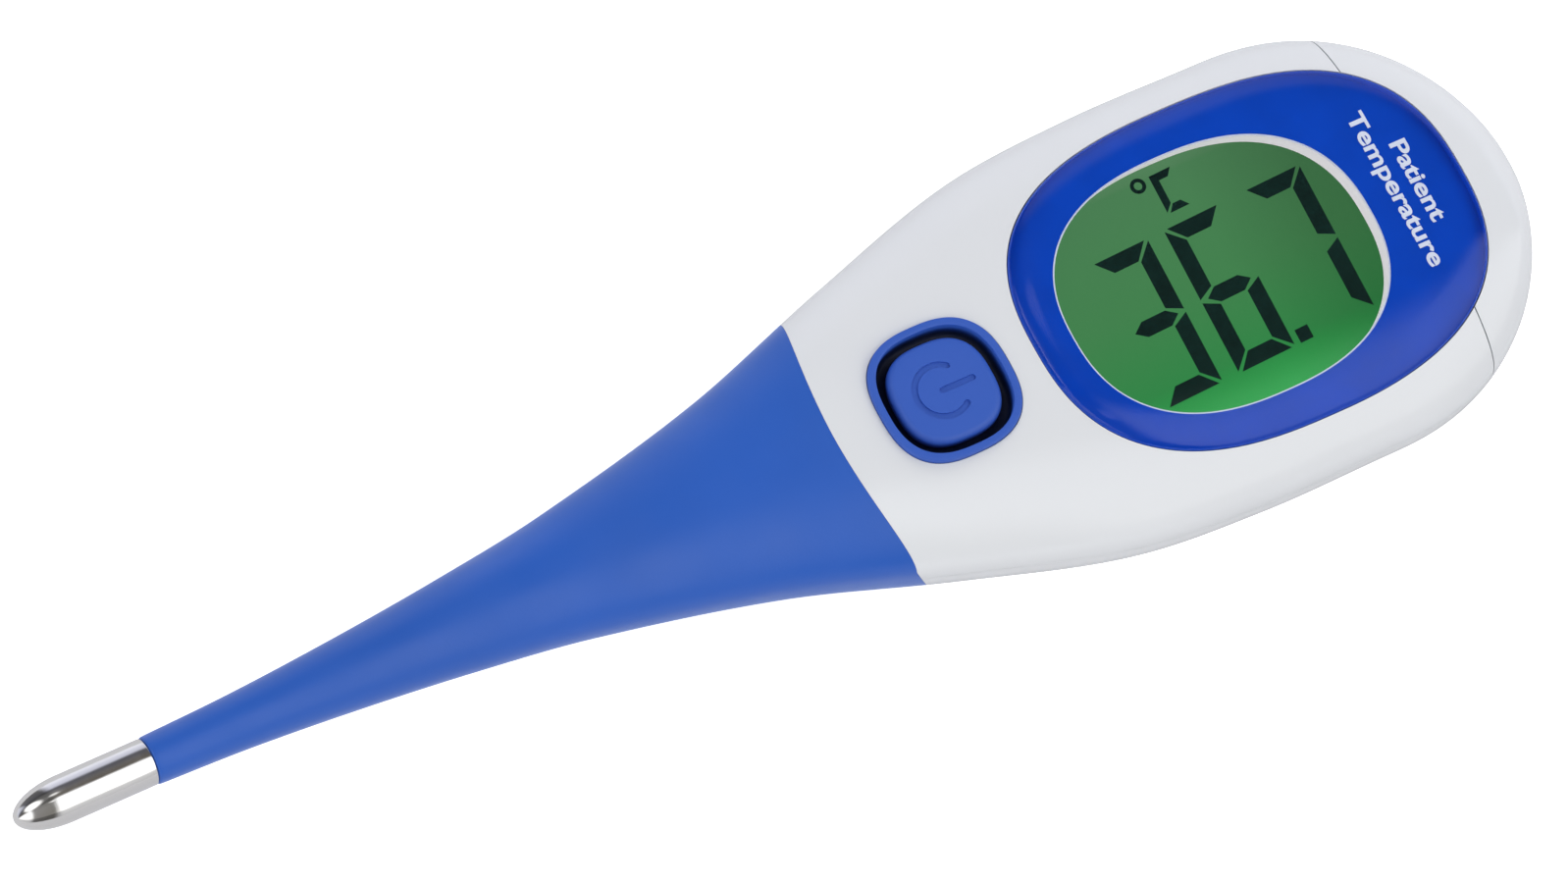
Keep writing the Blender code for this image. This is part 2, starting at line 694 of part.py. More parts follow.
def build_display():
    """The liquid-crystal cell, its white frame, the light guide and films, and the elastomer connector."""
    half_x, half_y = GLASS_HALF
    left, right = GLASS_CENTRE - half_x, GLASS_CENTRE + half_x
    front_low = GLASS_TOP - GLASS_THICK
    rear_high = front_low - 0.05 * MM
    rear_low = rear_high - GLASS_THICK
    keep(box((left, -half_y, front_low), (right, half_y, GLASS_TOP)), "lcd_front_glass", "lcd")
    keep(box((left, -half_y, rear_low), (right, LEDGE_Y, rear_high)), "lcd_rear_glass", "lcd")

    wall = 0.5 * MM
    inner_x, inner_y = half_x + 0.1 * MM, half_y + 0.25 * MM
    low, high = BOARD_TOP + 0.1 * MM, SEAT_Z - SEAT_THICK - 0.1 * MM
    corners = ((wall, low), (wall, high), (0.0, high), (0.0, low))
    rings = [rectangle_xy(GLASS_CENTRE, inner_x + grow, inner_y + grow, z) for grow, z in corners]
    keep(loft(rings, loop=True), "lcd_frame", "white_abs")

    guide_low = low + 0.25 * MM
    guide_high = rear_low - 0.3 * MM
    guide_y = -12.2 * MM
    guide = box((left, guide_y, guide_low), (right, LEDGE_Y, guide_high), 0.1 * MM)
    keep(guide, "light_guide", "guide")
    for name, front_y, z in (("reflector_film", guide_y, low + 0.05 * MM),
                             ("diffuser_film", -half_y, guide_high + 0.08 * MM)):
        keep(box((left, front_y, z), (right, LEDGE_Y, z + FILM)), name, "white_abs")

    led_half, led_height, clearance = 1.5 * MM, 0.9 * MM, 0.1 * MM
    for side, name in ((-1, "backlight_led_a"), (1, "backlight_led_b")):
        led_x = side * 6 * MM
        led_low = (led_x - led_half, clearance - inner_y, low + clearance)
        led_high = (led_x + led_half, guide_y - clearance, low + clearance + led_height)
        keep(box(led_low, led_high), name, "ceramic")
    strip_low = (left + MM, LEDGE_Y + 0.3 * MM, low)
    strip_high = (right - MM, half_y - 0.2 * MM, front_low - 0.08 * MM)
    keep(box(strip_low, strip_high), "elastomer_connector", "black")


# ---------------------------------------------------------------- button and switch

def build_button():
    """The rubber surround with its deep groove, and the pad whose stem presses the switch."""
    flange = (SEAT_Z - 0.6 * MM, SEAT_Z - 0.1 * MM)
    web_top = SEAT_Z + 0.3 * MM
    stem_hole = 2.0 * MM
    flange_half = RING_HALF + 0.9 * MM
    rim_top = BUTTON_TOP + 0.1 * MM
    rings = [button_ring(half, z) for half, z in (
        (stem_hole, flange[0]), (flange_half, flange[0]), (flange_half, flange[1]),
        (RING_HALF, flange[1]), (RING_HALF, rim_top - 0.35 * MM), (RING_HALF - 0.3 * MM, rim_top),
        (RING_INNER + 0.15 * MM, rim_top), (RING_INNER, rim_top - 0.2 * MM),
        (RING_INNER, web_top), (stem_hole, web_top))]
    keep(loft(rings, loop=True), "button_surround", "blue_rubber")

    stem = 1.4 * MM
    pad_low = web_top + BUTTON_TRAVEL + 0.05 * MM
    rings = [button_ring(half, z) for half, z in (
        (stem, PLUNGER_TOP + PLUNGER_GAP), (stem, pad_low),
        (PAD_HALF, pad_low), (PAD_HALF, BUTTON_TOP - 0.5 * MM),
        (PAD_HALF - 0.4 * MM, BUTTON_TOP - 0.12 * MM), (PAD_HALF - 1.6 * MM, BUTTON_TOP))]
    keep(loft(rings), "power_button", "blue_rubber")


def build_switch():
    """A tactile switch: moulded base, snap dome, plunger and a plate that holds them."""
    low = BOARD_TOP + 0.1 * MM
    high = low + 2.0 * MM
    left, right = BUTTON_X - SWITCH_HALF, BUTTON_X + SWITCH_HALF
    base = box((left, -SWITCH_HALF, low), (right, SWITCH_HALF, high), 0.2 * MM)
    recess = cylinder(2.2 * MM, (BUTTON_X, 0, low + 0.7 * MM), (BUTTON_X, 0, ABOVE), steps=24)
    cut(base, as_cutter(recess, "switch_recess"))
    keep(base, "switch_base", "black")

    dome_low = low + 0.8 * MM
    dome_radius, dome_angle, dome_sheet = 2.5 * MM, 50, 0.12 * MM
    dome = []
    for degrees in spread(0, dome_angle, 5):
        angle = math.radians(degrees)
        rise = math.cos(angle) - math.cos(math.radians(dome_angle))
        dome.append((dome_radius * math.sin(angle), dome_radius * rise / 2))
    shell = [(r, z + dome_sheet) for r, z in dome] + list(reversed(dome))
    keep(turned(shell, (BUTTON_X, 0, dome_low), 16), "switch_dome", "nickel")

    flange_low = dome_low + 0.68 * MM
    top = PLUNGER_TOP - flange_low
    stem, flange, flange_top = 1.5 * MM, 2.0 * MM, 0.3 * MM
    profile = ((0, top), (stem - 0.1 * MM, top), (stem, top - 0.1 * MM), (stem, flange_top),
               (flange, flange_top), (flange, 0), (0, 0))
    keep(turned(profile, (BUTTON_X, 0, flange_low), 20), "switch_plunger", "black")

    half = SWITCH_HALF - 0.2 * MM
    outline = [(-half, -half), (half, -half), (half, half), (-half, half)]
    cover = plate([outline, ring_xy(1.65 * MM)], 0.2 * MM, (BUTTON_X, 0, high + 0.2 * MM))
    keep(cover, "switch_cover", "nickel")


# ---------------------------------------------------------------- board, screws and buzzer

def build_board():
    inset = 2.2 * MM
    xs = spread(-30.3 * MM, 15.0 * MM, 12)
    edge = [(x, body_section(x)[0] - inset) for x in xs]
    outline = edge + [(x, -y) for x, y in reversed(edge)]
    holes = [[(x + px, y + py) for px, py in ring_xy(0.75 * MM, 16)] for x, y in screw_places()]
    middle = (BOARD_LOW + BOARD_TOP) / 2
    keep(plate([outline] + holes, BOARD_TOP - BOARD_LOW, (0, 0, middle)), "main_board", "board")

    blob_radius, blob_depth = 3.4 * MM, 1.3 * MM
    profile = [(0, 0)]
    for angle in spread(0, math.pi / 2, 6)[:-1]:
        profile.append((blob_radius * math.cos(angle), -blob_depth * math.sin(angle)))
    profile.append((0, -blob_depth))
    chip_top = BOARD_LOW - CHIP_GAP
    keep(turned(profile, (-12.5 * MM, 0, chip_top), 20), "processor_blob", "black")

    chip_x = -19 * MM
    half_length, half_width, height = 0.8 * MM, 0.45 * MM, 0.55 * MM
    chips = (("reference_resistor", 4 * MM, "black"), ("filter_capacitor", -4 * MM, "ceramic"))
    for name, y, slot in chips:
        low = (chip_x - half_length, y - half_width, chip_top - height)
        high = (chip_x + half_length, y + half_width, chip_top)
        keep(box(low, high, 0.06 * MM), name, slot)


def build_screws():
    """Two pan-head screws with a cross recess, through the board into the rear housing's bosses."""
    seat = BOARD_TOP + CHIP_GAP
    height, head, shank, length = 0.8 * MM, 1.4 * MM, 0.6 * MM, 4.2 * MM
    profile = (
        (0, height), (head * 0.7, height), (head, height / 2), (head, 0), (shank, 0),
        (shank, shank - length), (shank / 6, -length), (0, -length))
    long, narrow, deep = 0.8 * MM, 0.15 * MM, 0.35 * MM
    for i, (x, y) in enumerate(screw_places()):
        screw = turned(profile, (x, y, seat), 14)
        for turn, (half_x, half_y) in enumerate(((long, narrow), (narrow, long))):
            low = (x - half_x, y - half_y, seat + height - deep)
            high = (x + half_x, y + half_y, seat + 2 * height)
            cut(screw, as_cutter(box(low, high), "screw_%d_slot_%d" % (i, turn)))
        keep(screw, "board_screw_%s" % "ab"[i], "nickel")


def build_buzzer():
    """A brass disc with its ceramic, and two short wires up to the board."""
    sheet = 0.2 * MM
    brass_top = BUZZER_Z + sheet
    disc = cylinder(BUZZER_RADIUS, (BUZZER_X, 0, BUZZER_Z), (BUZZER_X, 0, brass_top), steps=40)
    keep(disc, "buzzer_disc", "brass")
    low = brass_top + CHIP_GAP
    plate_top = low + sheet
    keep(cylinder(4.2 * MM, (BUZZER_X, 0, low), (BUZZER_X, 0, plate_top)), "buzzer_ceramic", "ceramic")
    starts = (
        ("buzzer_wire_a", 3.0 * MM, plate_top, "red_wire"),
        ("buzzer_wire_b", 5.2 * MM, brass_top, "black_wire"))
    for name, reach, z, slot in starts:
        x = BUZZER_X + reach
        route = (
            (x, 0.8 * MM, z + LEAD_RADIUS + 0.1 * MM),
            (x + MM, 0.8 * MM, z + 1.4 * MM),
            (x + MM, 1.5 * MM, BOARD_LOW - MM),
            (x + 0.4 * MM, 1.8 * MM, BOARD_LOW - 0.12 * MM),
        )
        keep(wire(route, LEAD_RADIUS), name, slot)


clear_scene()
PART = new_collection("digital_thermometer")
CUTTERS = new_collection("cutters")
build_tip()
build_leads()
build_sleeve()
build_neck()
build_front_housing()
build_rear_housing()
build_battery_cap()
build_tray()
build_cell()
build_contacts()
build_lens()
build_display()
build_button()
build_switch()
build_board()
build_screws()
build_buzzer()
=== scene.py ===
"""Looks for a digital thermometer: fine skins, materials, display, floor, lights and camera.

Row frame, metres: the origin is on the rest face under the display, +X runs to the head and
+Z comes out of the display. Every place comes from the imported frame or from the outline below.
"""
import json
import math

import bpy
import numpy as np
from mathutils import Matrix, Vector


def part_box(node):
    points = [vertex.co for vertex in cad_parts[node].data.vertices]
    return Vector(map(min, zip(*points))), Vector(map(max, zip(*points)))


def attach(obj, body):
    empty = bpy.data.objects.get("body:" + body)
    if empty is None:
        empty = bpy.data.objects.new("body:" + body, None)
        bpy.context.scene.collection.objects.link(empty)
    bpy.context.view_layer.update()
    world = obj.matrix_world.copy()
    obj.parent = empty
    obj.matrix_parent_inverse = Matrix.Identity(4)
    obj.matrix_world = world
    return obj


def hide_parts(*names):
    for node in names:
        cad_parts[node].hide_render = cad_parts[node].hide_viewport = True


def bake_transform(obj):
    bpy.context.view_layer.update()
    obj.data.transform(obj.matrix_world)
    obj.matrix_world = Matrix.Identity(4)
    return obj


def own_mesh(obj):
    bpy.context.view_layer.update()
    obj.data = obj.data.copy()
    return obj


MM = 0.001
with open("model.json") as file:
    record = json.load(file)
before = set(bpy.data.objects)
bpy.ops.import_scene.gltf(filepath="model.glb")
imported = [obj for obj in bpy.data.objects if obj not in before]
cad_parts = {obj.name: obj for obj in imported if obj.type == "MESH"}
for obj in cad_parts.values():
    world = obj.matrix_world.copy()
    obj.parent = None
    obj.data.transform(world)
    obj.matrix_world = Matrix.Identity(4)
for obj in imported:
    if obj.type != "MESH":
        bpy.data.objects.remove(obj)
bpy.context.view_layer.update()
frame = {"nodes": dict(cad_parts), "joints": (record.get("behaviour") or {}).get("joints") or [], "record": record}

# Body outline, as the part's: x, half width, height above and depth below the parting plane, power.
STATIONS = np.array((
    (-98.3, 2.05, 2.05, 2.05, 2.00),
    (-90.0, 2.36, 2.36, 2.36, 2.00),
    (-80.0, 3.10, 2.95, 3.05, 2.00),
    (-70.0, 4.13, 3.50, 3.90, 2.00),
    (-60.0, 5.49, 4.00, 4.75, 2.10),
    (-44.0, 8.92, 4.70, 6.30, 2.30),
    (-30.0, 13.40, 5.30, 7.65, 2.50),
    (-16.0, 17.33, 5.65, 8.65, 2.65),
    (-4.0, 18.35, 5.80, 8.80, 2.70),
    (8.4, 18.30, 5.80, 8.80, 2.70),
)) * (MM, MM, MM, MM, 1.0)
HEAD_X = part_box("battery_cap")[1].x
ROUND_START = STATIONS[-1, 0]
PLAN_POWERS = (2.26, 1.77)
SIDE_POWERS = (3.5, 2.0)
PARTING_Z = sum(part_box("tip_cap")[i].z for i in (0, 1)) / 2
WALL = 1.4 * MM
JUNCTION_X = -36.1 * MM
JUNCTION_BOW = 1.65 * MM
JUNCTION_REACH = 11.0 * MM
FLARE_TOP = PARTING_Z + 1.0 * MM  # from here down the junction runs on towards the head
FLARE_DEPTH = 3.5 * MM
FLARE = 1.4 * MM
CAP_SEAM = (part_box("rear_housing")[1].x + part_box("battery_cap")[0].x) / 2
SEAM = 0.12 * MM
PARTING_SEAM = 0.03 * MM
ABOVE = 18 * MM
BELOW = -2 * MM
RING = 144                      # points round a full section

LENS_LOW, LENS_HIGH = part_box("display_lens")
LENS_CENTRE = (LENS_LOW.x + LENS_HIGH.x) / 2
LENS_HALF = ((LENS_HIGH.x - LENS_LOW.x) / 2, (LENS_HIGH.y - LENS_LOW.y) / 2)
LENS_POWER = 2.54
LENS_LIFT = 0.7 * MM
LENS_ROLL = 3.0 * MM
LENS_EDGE = 0.3 * MM
WINDOW_CENTRE = 0.5 * MM
WINDOW_HALF = (14.1 * MM, 11.4 * MM)
WINDOW_POWER = 2.4
SEAT_Z = 12.1 * MM
SEAT_THICK = 1.0 * MM

PAD_LOW, PAD_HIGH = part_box("power_button")
BUTTON_X = (PAD_LOW.x + PAD_HIGH.x) / 2
BUTTON_TOP = PAD_HIGH.z
BUTTON_POWER = 2.65
PAD_HALF = (PAD_HIGH.x - PAD_LOW.x) / 2
RING_HALF = 5.95 * MM
RING_INNER = 5.3 * MM

# Probe links: where the sleeve and the leads bend.
PIVOTS = {joint["name"]: joint["pos_m"][0] for joint in frame["joints"] if "pos_m" in joint}
REAR_PIVOT = PIVOTS["probe_flex_rear"]
FRONT_PIVOT = PIVOTS["probe_flex_front"]
SPLIT_X = (REAR_PIVOT + FRONT_PIVOT) / 2


# ---------------------------------------------------------------- body surface

def station_values(x):
    """Half width, height, depth and power at each x, on a smooth curve through the stations."""
    xs = STATIONS[:, 0]
    values = STATIONS[:, 1:]
    x = np.clip(x, xs[0], xs[-1])
    slopes = np.zeros_like(values)
    slopes[0] = (values[1] - values[0]) / (xs[1] - xs[0])
    slopes[1:-1] = (values[2:] - values[:-2]) / (xs[2:] - xs[:-2])[:, None]
    i = np.clip(np.searchsorted(xs, x, side="right") - 1, 0, len(xs) - 2)
    span = (xs[i + 1] - xs[i])[..., None]
    t = (x[..., None] - xs[i][..., None]) / span
    start = (1 + 2 * t) * (1 - t) ** 2 * values[i] + t * (1 - t) ** 2 * span * slopes[i]
    end = t * t * (3 - 2 * t) * values[i + 1] - t * t * (1 - t) * span * slopes[i + 1]
    return np.moveaxis(start + end, -1, 0)


def body_section(x, inset=0.0):
    width, height, depth, power = station_values(x)
    t = np.clip((x - ROUND_START) / (HEAD_X - ROUND_START - inset), 0.0, 1.0)
    plan = (1 - t ** PLAN_POWERS[0]) ** (1 / PLAN_POWERS[1])
    side = (1 - t ** SIDE_POWERS[0]) ** (1 / SIDE_POWERS[1])
    return (width - inset) * plan, (height - inset) * side, (depth - inset) * side, power


def signed_power(value, power):
    return np.copysign(np.abs(value) ** power, value)


def body_points(x, angle, inset=0.0, seam=0.0):
    """Points on the body; the underside is clipped to the flat rest face."""
    x, angle = np.broadcast_arrays(np.asarray(x, float), np.asarray(angle, float))
    width, height, depth, power = body_section(x, inset)
    y = width * signed_power(np.cos(angle), 2 / power)
    rise = signed_power(np.sin(angle), 2 / power)
    reach = np.where(rise >= 0, height, depth)
    z = PARTING_Z + np.sign(rise) * seam / 2 + rise * (reach - seam / 2)
    return np.stack((x, y, np.maximum(z, inset)), -1)


def top_height(x, y):
    width, height, _, power = body_section(x)
    ratio = np.clip(np.abs(y) / width, 0, 1)
    return PARTING_Z + height * (1 - ratio ** power) ** (1 / power)


def body_normals(points):
    """Outward normals of the body surface at points on it."""
    def shape(x, y, z):
        width, height, depth, power = body_section(x)
        reach = np.where(z >= PARTING_Z, height, depth)
        return (np.abs(y) / width) ** power + (np.abs(z - PARTING_Z) / reach) ** power

    x, y, z = points.T
    x = np.minimum(x, HEAD_X - 0.02 * MM)
    step = 0.002 * MM
    normals = np.stack((
        shape(x + step, y, z) - shape(x - step, y, z),
        shape(x, y + step, z) - shape(x, y - step, z),
        shape(x, y, z + step) - shape(x, y, z - step)), -1)
    normals[z < 0.001 * MM] = (0, 0, -1)
    return normals / np.linalg.norm(normals, axis=1, keepdims=True)


def ring_angles(count=RING):
    return np.linspace(0, 2 * math.pi, count, endpoint=False)


def body_ring(x, inset=0.0):
    return body_points(x, ring_angles(), inset)


def half_ring(x, side):
    """The upper (side 1) or lower (side -1) half of a section."""
    edge = 0.0002
    return body_points(x, side * np.linspace(edge, math.pi - edge, RING // 2 + 1), 0.0, PARTING_SEAM)


def junction_x(y):
    """Where the front housing starts, at a distance y from the middle."""
    return JUNCTION_X + JUNCTION_BOW * (y / JUNCTION_REACH) ** 2


def junction_side():
    """Where the bowed junction would reach the sides."""
    x = np.array(JUNCTION_X)
    for _ in range(6):
        x = junction_x(body_section(x)[0])
    return float(x)


def flare_x(z):
    """How far the junction reaches at the sides, at a height z; above FLARE_TOP the bow takes over."""
    share = (FLARE_TOP - z) / FLARE_DEPTH
    return junction_side() + FLARE * np.minimum(np.minimum(share, 3 * share), 1)


def junction_ring(inset, shift):
    """A ring on the body surface along the line where the sleeve ends."""
    angle = ring_angles()
    side = junction_side()
    points = body_points(side, angle, inset)
    for _ in range(6):
        x = np.where(angle <= math.pi, junction_x(points[:, 1]), side)
        x = np.maximum(x, flare_x(points[:, 2]))
        points = body_points(x + shift, angle, inset)
    return points


# ---------------------------------------------------------------- mesh helpers

def mesh_object(name, points, faces):
    mesh = bpy.data.meshes.new(name)
    mesh.from_pydata([tuple(point) for point in points], [], faces)
    mesh.validate()
    obj = bpy.data.objects.new(name, mesh)
    bpy.context.scene.collection.objects.link(obj)
    return obj


def make_normals_outward(obj):
    """A closed mesh with a negative signed volume is inside out."""
    mesh = obj.data
    mesh.calc_loop_triangles()
    corners = np.array([[mesh.vertices[i].co for i in tri.vertices] for tri in mesh.loop_triangles])
    if np.einsum("ij,ij->i", corners[:, 0], np.cross(corners[:, 1], corners[:, 2])).sum() < 0:
        mesh.flip_normals()


def loft(name, rings, loop=False):
    """Skin equal-length rings; loop joins the last ring to the first, else both ends are capped."""
    rings = np.array(rings)
    count, around = rings.shape[:2]
    index = np.arange(count * around).reshape(count, around)
    following = np.roll(index, -1, axis=0) if loop else index[1:]
    low = index if loop else index[:-1]
    quads = np.stack((low, np.roll(low, -1, 1), np.roll(following, -1, 1), following), -1)
    faces = quads.reshape(-1, 4).tolist()
    if not loop:
        faces += [index[0][::-1].tolist(), index[-1].tolist()]
    obj = mesh_object(name, rings.reshape(-1, 3), faces)
    make_normals_outward(obj)
    return obj


def smooth(obj, degrees=35):
    obj.data.shade_smooth()
    obj.data.set_sharp_from_angle(angle=math.radians(degrees))
    return obj


def apply_modifiers(obj):
    graph = bpy.context.evaluated_depsgraph_get()
    mesh = bpy.data.meshes.new_from_object(obj.evaluated_get(graph))
    obj.modifiers.clear()
    obj.data = mesh
    return obj


def cut(target, cutters, operation="DIFFERENCE"):
    """Apply Boolean cuts at once and drop the cutters."""
    for cutter in cutters:
        boolean = target.modifiers.new("cut", "BOOLEAN")
        boolean.operation = operation
        boolean.solver = "EXACT"
        boolean.object = cutter
    apply_modifiers(target)
    for cutter in cutters:
        bpy.data.objects.remove(cutter, do_unlink=True)
    return target


def box(name, low, high):
    low, high = Vector(low), Vector(high)
    bpy.ops.mesh.primitive_cube_add(size=1.0, location=(low + high) / 2)
    obj = bpy.context.object
    obj.name = name
    obj.scale = high - low
    bpy.ops.object.transform_apply(location=True, rotation=False, scale=True)
    return obj


def superellipse(centre_x, half_x, half_y, power, z, count=RING):
    angle = ring_angles(count)
    x = centre_x + half_x * signed_power(np.cos(angle), 2 / power)
    y = half_y * signed_power(np.sin(angle), 2 / power)
    return np.stack((x, y, np.full_like(x, z)), -1)


def lens_ring(offset, z):
    return superellipse(LENS_CENTRE, LENS_HALF[0] + offset, LENS_HALF[1] + offset, LENS_POWER, z)


def window_ring(offset, z):
    return superellipse(WINDOW_CENTRE, WINDOW_HALF[0] + offset, WINDOW_HALF[1] + offset, WINDOW_POWER, z)


def button_ring(half, z):
    return superellipse(BUTTON_X, half, half, BUTTON_POWER, z)


def prism(ring, size, low):
    return loft("prism", [ring(size, low), ring(size, ABOVE)])


def body_shading(obj):
    """Give faces that lie on the body surface its exact normals, so that cuts leave no shading marks."""
    mesh = obj.data
    mesh.shade_smooth()
    points = np.array([v.co for v in mesh.vertices])
    exact = body_normals(points)
    flat = np.array([p.normal for p in mesh.polygons])
    loops = np.array([loop.vertex_index for loop in mesh.loops])
    owner = np.repeat(np.arange(len(mesh.polygons)), [p.loop_total for p in mesh.polygons])
    outside = distance_outside(points) < 0.12 * MM
    aligned = np.einsum("ij,ij->i", exact[loops], flat[owner]) > 0.93
    on_body = np.ones(len(mesh.polygons), bool)
    np.logical_and.at(on_body, owner, outside[loops] & aligned)
    normals = np.where(on_body[owner][:, None], exact[loops], flat[owner])
    mesh.normals_split_custom_set(normals.tolist())
    return obj


def distance_outside(points):
    """Roughly how far each point is from the body surface."""
    x, y, z = points.T
    width, height, depth, power = body_section(np.minimum(x, HEAD_X - 0.02 * MM))
    reach = np.where(z >= PARTING_Z, height, depth)
    radius = ((np.abs(y) / width) ** power + (np.abs(z - PARTING_Z) / reach) ** power) ** (1 / power)
    distance = np.abs(radius - 1) * np.hypot(y, z - PARTING_Z)
    return np.where(z < 0.001 * MM, 0.0, distance)


# ---------------------------------------------------------------- materials

class Shader:
    """A material's node tree with short calls for the nodes this scene needs."""

    def __init__(self, name, colour, roughness, metallic=0.0):
        self.material = bpy.data.materials.new(name)
        self.material.use_nodes = True
        self.nodes = self.material.node_tree.nodes
        self.links = self.material.node_tree.links
        self.surface = self.nodes["Principled BSDF"]
        self.output = self.nodes["Material Output"]
        self.coordinates = self.nodes.new("ShaderNodeTexCoord").outputs["Object"]
        self.colour = colour
        self.set("Base Color", (*colour, 1.0))
        self.set("Roughness", roughness)
        self.set("Metallic", metallic)

    def set(self, name, value):
        self.surface.inputs[name].default_value = value
        return self

    def noise(self, scale, detail=3.0, stretch=(1, 1, 1), rough=0.5):
        mapping = self.nodes.new("ShaderNodeMapping")
        mapping.inputs["Scale"].default_value = stretch
        self.links.new(self.coordinates, mapping.inputs["Vector"])
        texture = self.nodes.new("ShaderNodeTexNoise")
        texture.inputs["Scale"].default_value = scale
        texture.inputs["Detail"].default_value = detail
        texture.inputs["Roughness"].default_value = rough
        self.links.new(mapping.outputs["Vector"], texture.inputs["Vector"])
        return texture.outputs["Fac"]

    def remap(self, value, low, high, start=0.3, end=0.7):
        node = self.nodes.new("ShaderNodeMapRange")
        for key, number in (("From Min", start), ("From Max", end), ("To Min", low), ("To Max", high)):
            node.inputs[key].default_value = number
        self.links.new(value, node.inputs["Value"])
        return node.outputs["Result"]

    def ramp(self, value, stops):
        node = self.nodes.new("ShaderNodeValToRGB")
        elements = node.color_ramp.elements
        while len(elements) < len(stops):
            elements.new(0.5)
        for element, (place, colour) in zip(elements, stops):
            element.position = place
            element.color = (*colour, 1.0)
        self.links.new(value, node.inputs["Fac"])
        return node.outputs["Color"]

    def vary_colour(self, value, amount):
        dark = tuple(channel * (1 - amount) for channel in self.colour)
        light = tuple(min(channel * (1 + amount), 1.0) for channel in self.colour)
        self.links.new(self.ramp(value, ((0.3, dark), (0.7, light))), self.surface.inputs["Base Color"])
        return self

    def vary_roughness(self, value, low, high):
        self.links.new(self.remap(value, low, high), self.surface.inputs["Roughness"])
        return self

    def bump(self, value, distance, strength=1.0):
        """Raise the surface; a second call adds to the first."""
        node = self.nodes.new("ShaderNodeBump")
        node.inputs["Distance"].default_value = distance
        node.inputs["Strength"].default_value = strength
        self.links.new(value, node.inputs["Height"])
        target = self.surface.inputs["Normal"]
        if target.links:
            self.links.new(target.links[0].from_socket, node.inputs["Normal"])
        self.links.new(node.outputs["Normal"], target)
        return self


def white_abs():
    """Glossy cool-white ABS: faint orange peel, and handling marks in the gloss."""
    shader = Shader("white_abs", (0.775, 0.792, 0.812), 0.2)
    shader.vary_colour(shader.noise(45, 4), 0.012)
    shader.vary_roughness(shader.noise(110, 5, rough=0.65), 0.09, 0.2)
    shader.bump(shader.noise(900, 2), 0.004 * MM)
    return shader.material


def blue_tpe():
    """Matt elastomer with a fine moulded grain and a soft sheen."""
    shader = Shader("blue_tpe", (0.013, 0.100, 0.49), 0.42)
    shader.vary_colour(shader.noise(60, 4), 0.05)
    shader.vary_roughness(shader.noise(150, 4), 0.36, 0.50)
    shader.bump(shader.noise(5200, 2), 0.006 * MM)
    shader.bump(shader.noise(420, 3), 0.012 * MM)
    shader.set("Sheen Weight", 0.55)
    shader.set("Sheen Roughness", 0.42)
    shader.set("Sheen Tint", (0.6, 0.72, 1.0, 1.0))
    return shader.material


def blue_rubber():
    """Matt blue rubber with painted shade down in the groove round the pad: its colour darkens with depth below the
    rim.
    """
    shader = Shader("blue_rubber", (0.030, 0.105, 0.50), 0.5)
    shader.vary_roughness(shader.noise(500, 4), 0.46, 0.60)
    shader.bump(shader.noise(5000, 2), 0.005 * MM)
    # painted shade: below the rim the colour falls to near-black, standing for shadow in the groove and on the pad's
    # sides
    split = shader.nodes.new("ShaderNodeSeparateXYZ")
    shader.links.new(shader.coordinates, split.inputs["Vector"])
    height = shader.remap(split.outputs["Z"], 0.0, 1.0, BUTTON_TOP - 1.6 * MM, BUTTON_TOP - 0.5 * MM)
    tint = shader.ramp(height, ((0.0, (0.001, 0.006, 0.035)), (0.45, (0.001, 0.018, 0.13)), (1.0, shader.colour)))
    shader.links.new(tint, shader.surface.inputs["Base Color"])
    return shader.material


def blue_ink():
    """Deep blue screen print, with the faint mottle of the ink film."""
    shader = Shader("blue_ink", (0.002, 0.060, 0.50), 0.5)
    shader.set("Specular IOR Level", 0.0)
    shader.vary_colour(shader.noise(260, 5), 0.06)
    shader.bump(shader.noise(3000, 2), 0.002 * MM)
    return shader.material


def white_ink():
    shader = Shader("white_ink", (0.78, 0.82, 0.92), 0.5)
    shader.set("Specular IOR Level", 0.0)
    shader.vary_colour(shader.noise(900, 4), 0.03)
    return shader.material


def polished_steel():
    """Drawn steel, polished round its axis: fine rings and faint handling haze."""
    shader = Shader("polished_steel", (0.80, 0.79, 0.775), 0.10, 1.0)
    shader.vary_roughness(shader.noise(700, 4), 0.07, 0.17)
    shader.bump(shader.noise(900, 2, stretch=(9, 0.4, 0.4)), 0.0012 * MM)
    shader.vary_colour(shader.noise(260, 3), 0.02)
    return shader.material


def clear_lens():
    """Polished clear plastic: reflects at its surface and lets the layers below show."""
    shader = Shader("clear_lens", (0.95, 0.97, 1.0), 0.03)
    nodes, links = shader.nodes, shader.links
    clear = nodes.new("ShaderNodeBsdfTransparent")
    clear.inputs["Color"].default_value = (0.985, 0.99, 1.0, 1.0)
    gloss = nodes.new("ShaderNodeBsdfGlossy")
    links.new(shader.remap(shader.noise(160, 5, rough=0.6), 0.02, 0.09), gloss.inputs["Roughness"])
    fresnel = nodes.new("ShaderNodeFresnel")
    fresnel.inputs["IOR"].default_value = 1.45
    outer = nodes.new("ShaderNodeMath")
    outer.operation = "MULTIPLY"
    geometry = nodes.new("ShaderNodeNewGeometry")
    links.new(shader.remap(geometry.outputs["Backfacing"], 1.0, 0.0, 0.0, 1.0), outer.inputs[0])
    links.new(fresnel.outputs["Fac"], outer.inputs[1])
    mix = nodes.new("ShaderNodeMixShader")
    links.new(outer.outputs["Value"], mix.inputs["Fac"])
    links.new(clear.outputs["BSDF"], mix.inputs[1])
    links.new(gloss.outputs["BSDF"], mix.inputs[2])
    links.new(mix.outputs["Shader"], shader.output.inputs["Surface"])
    return shader.material


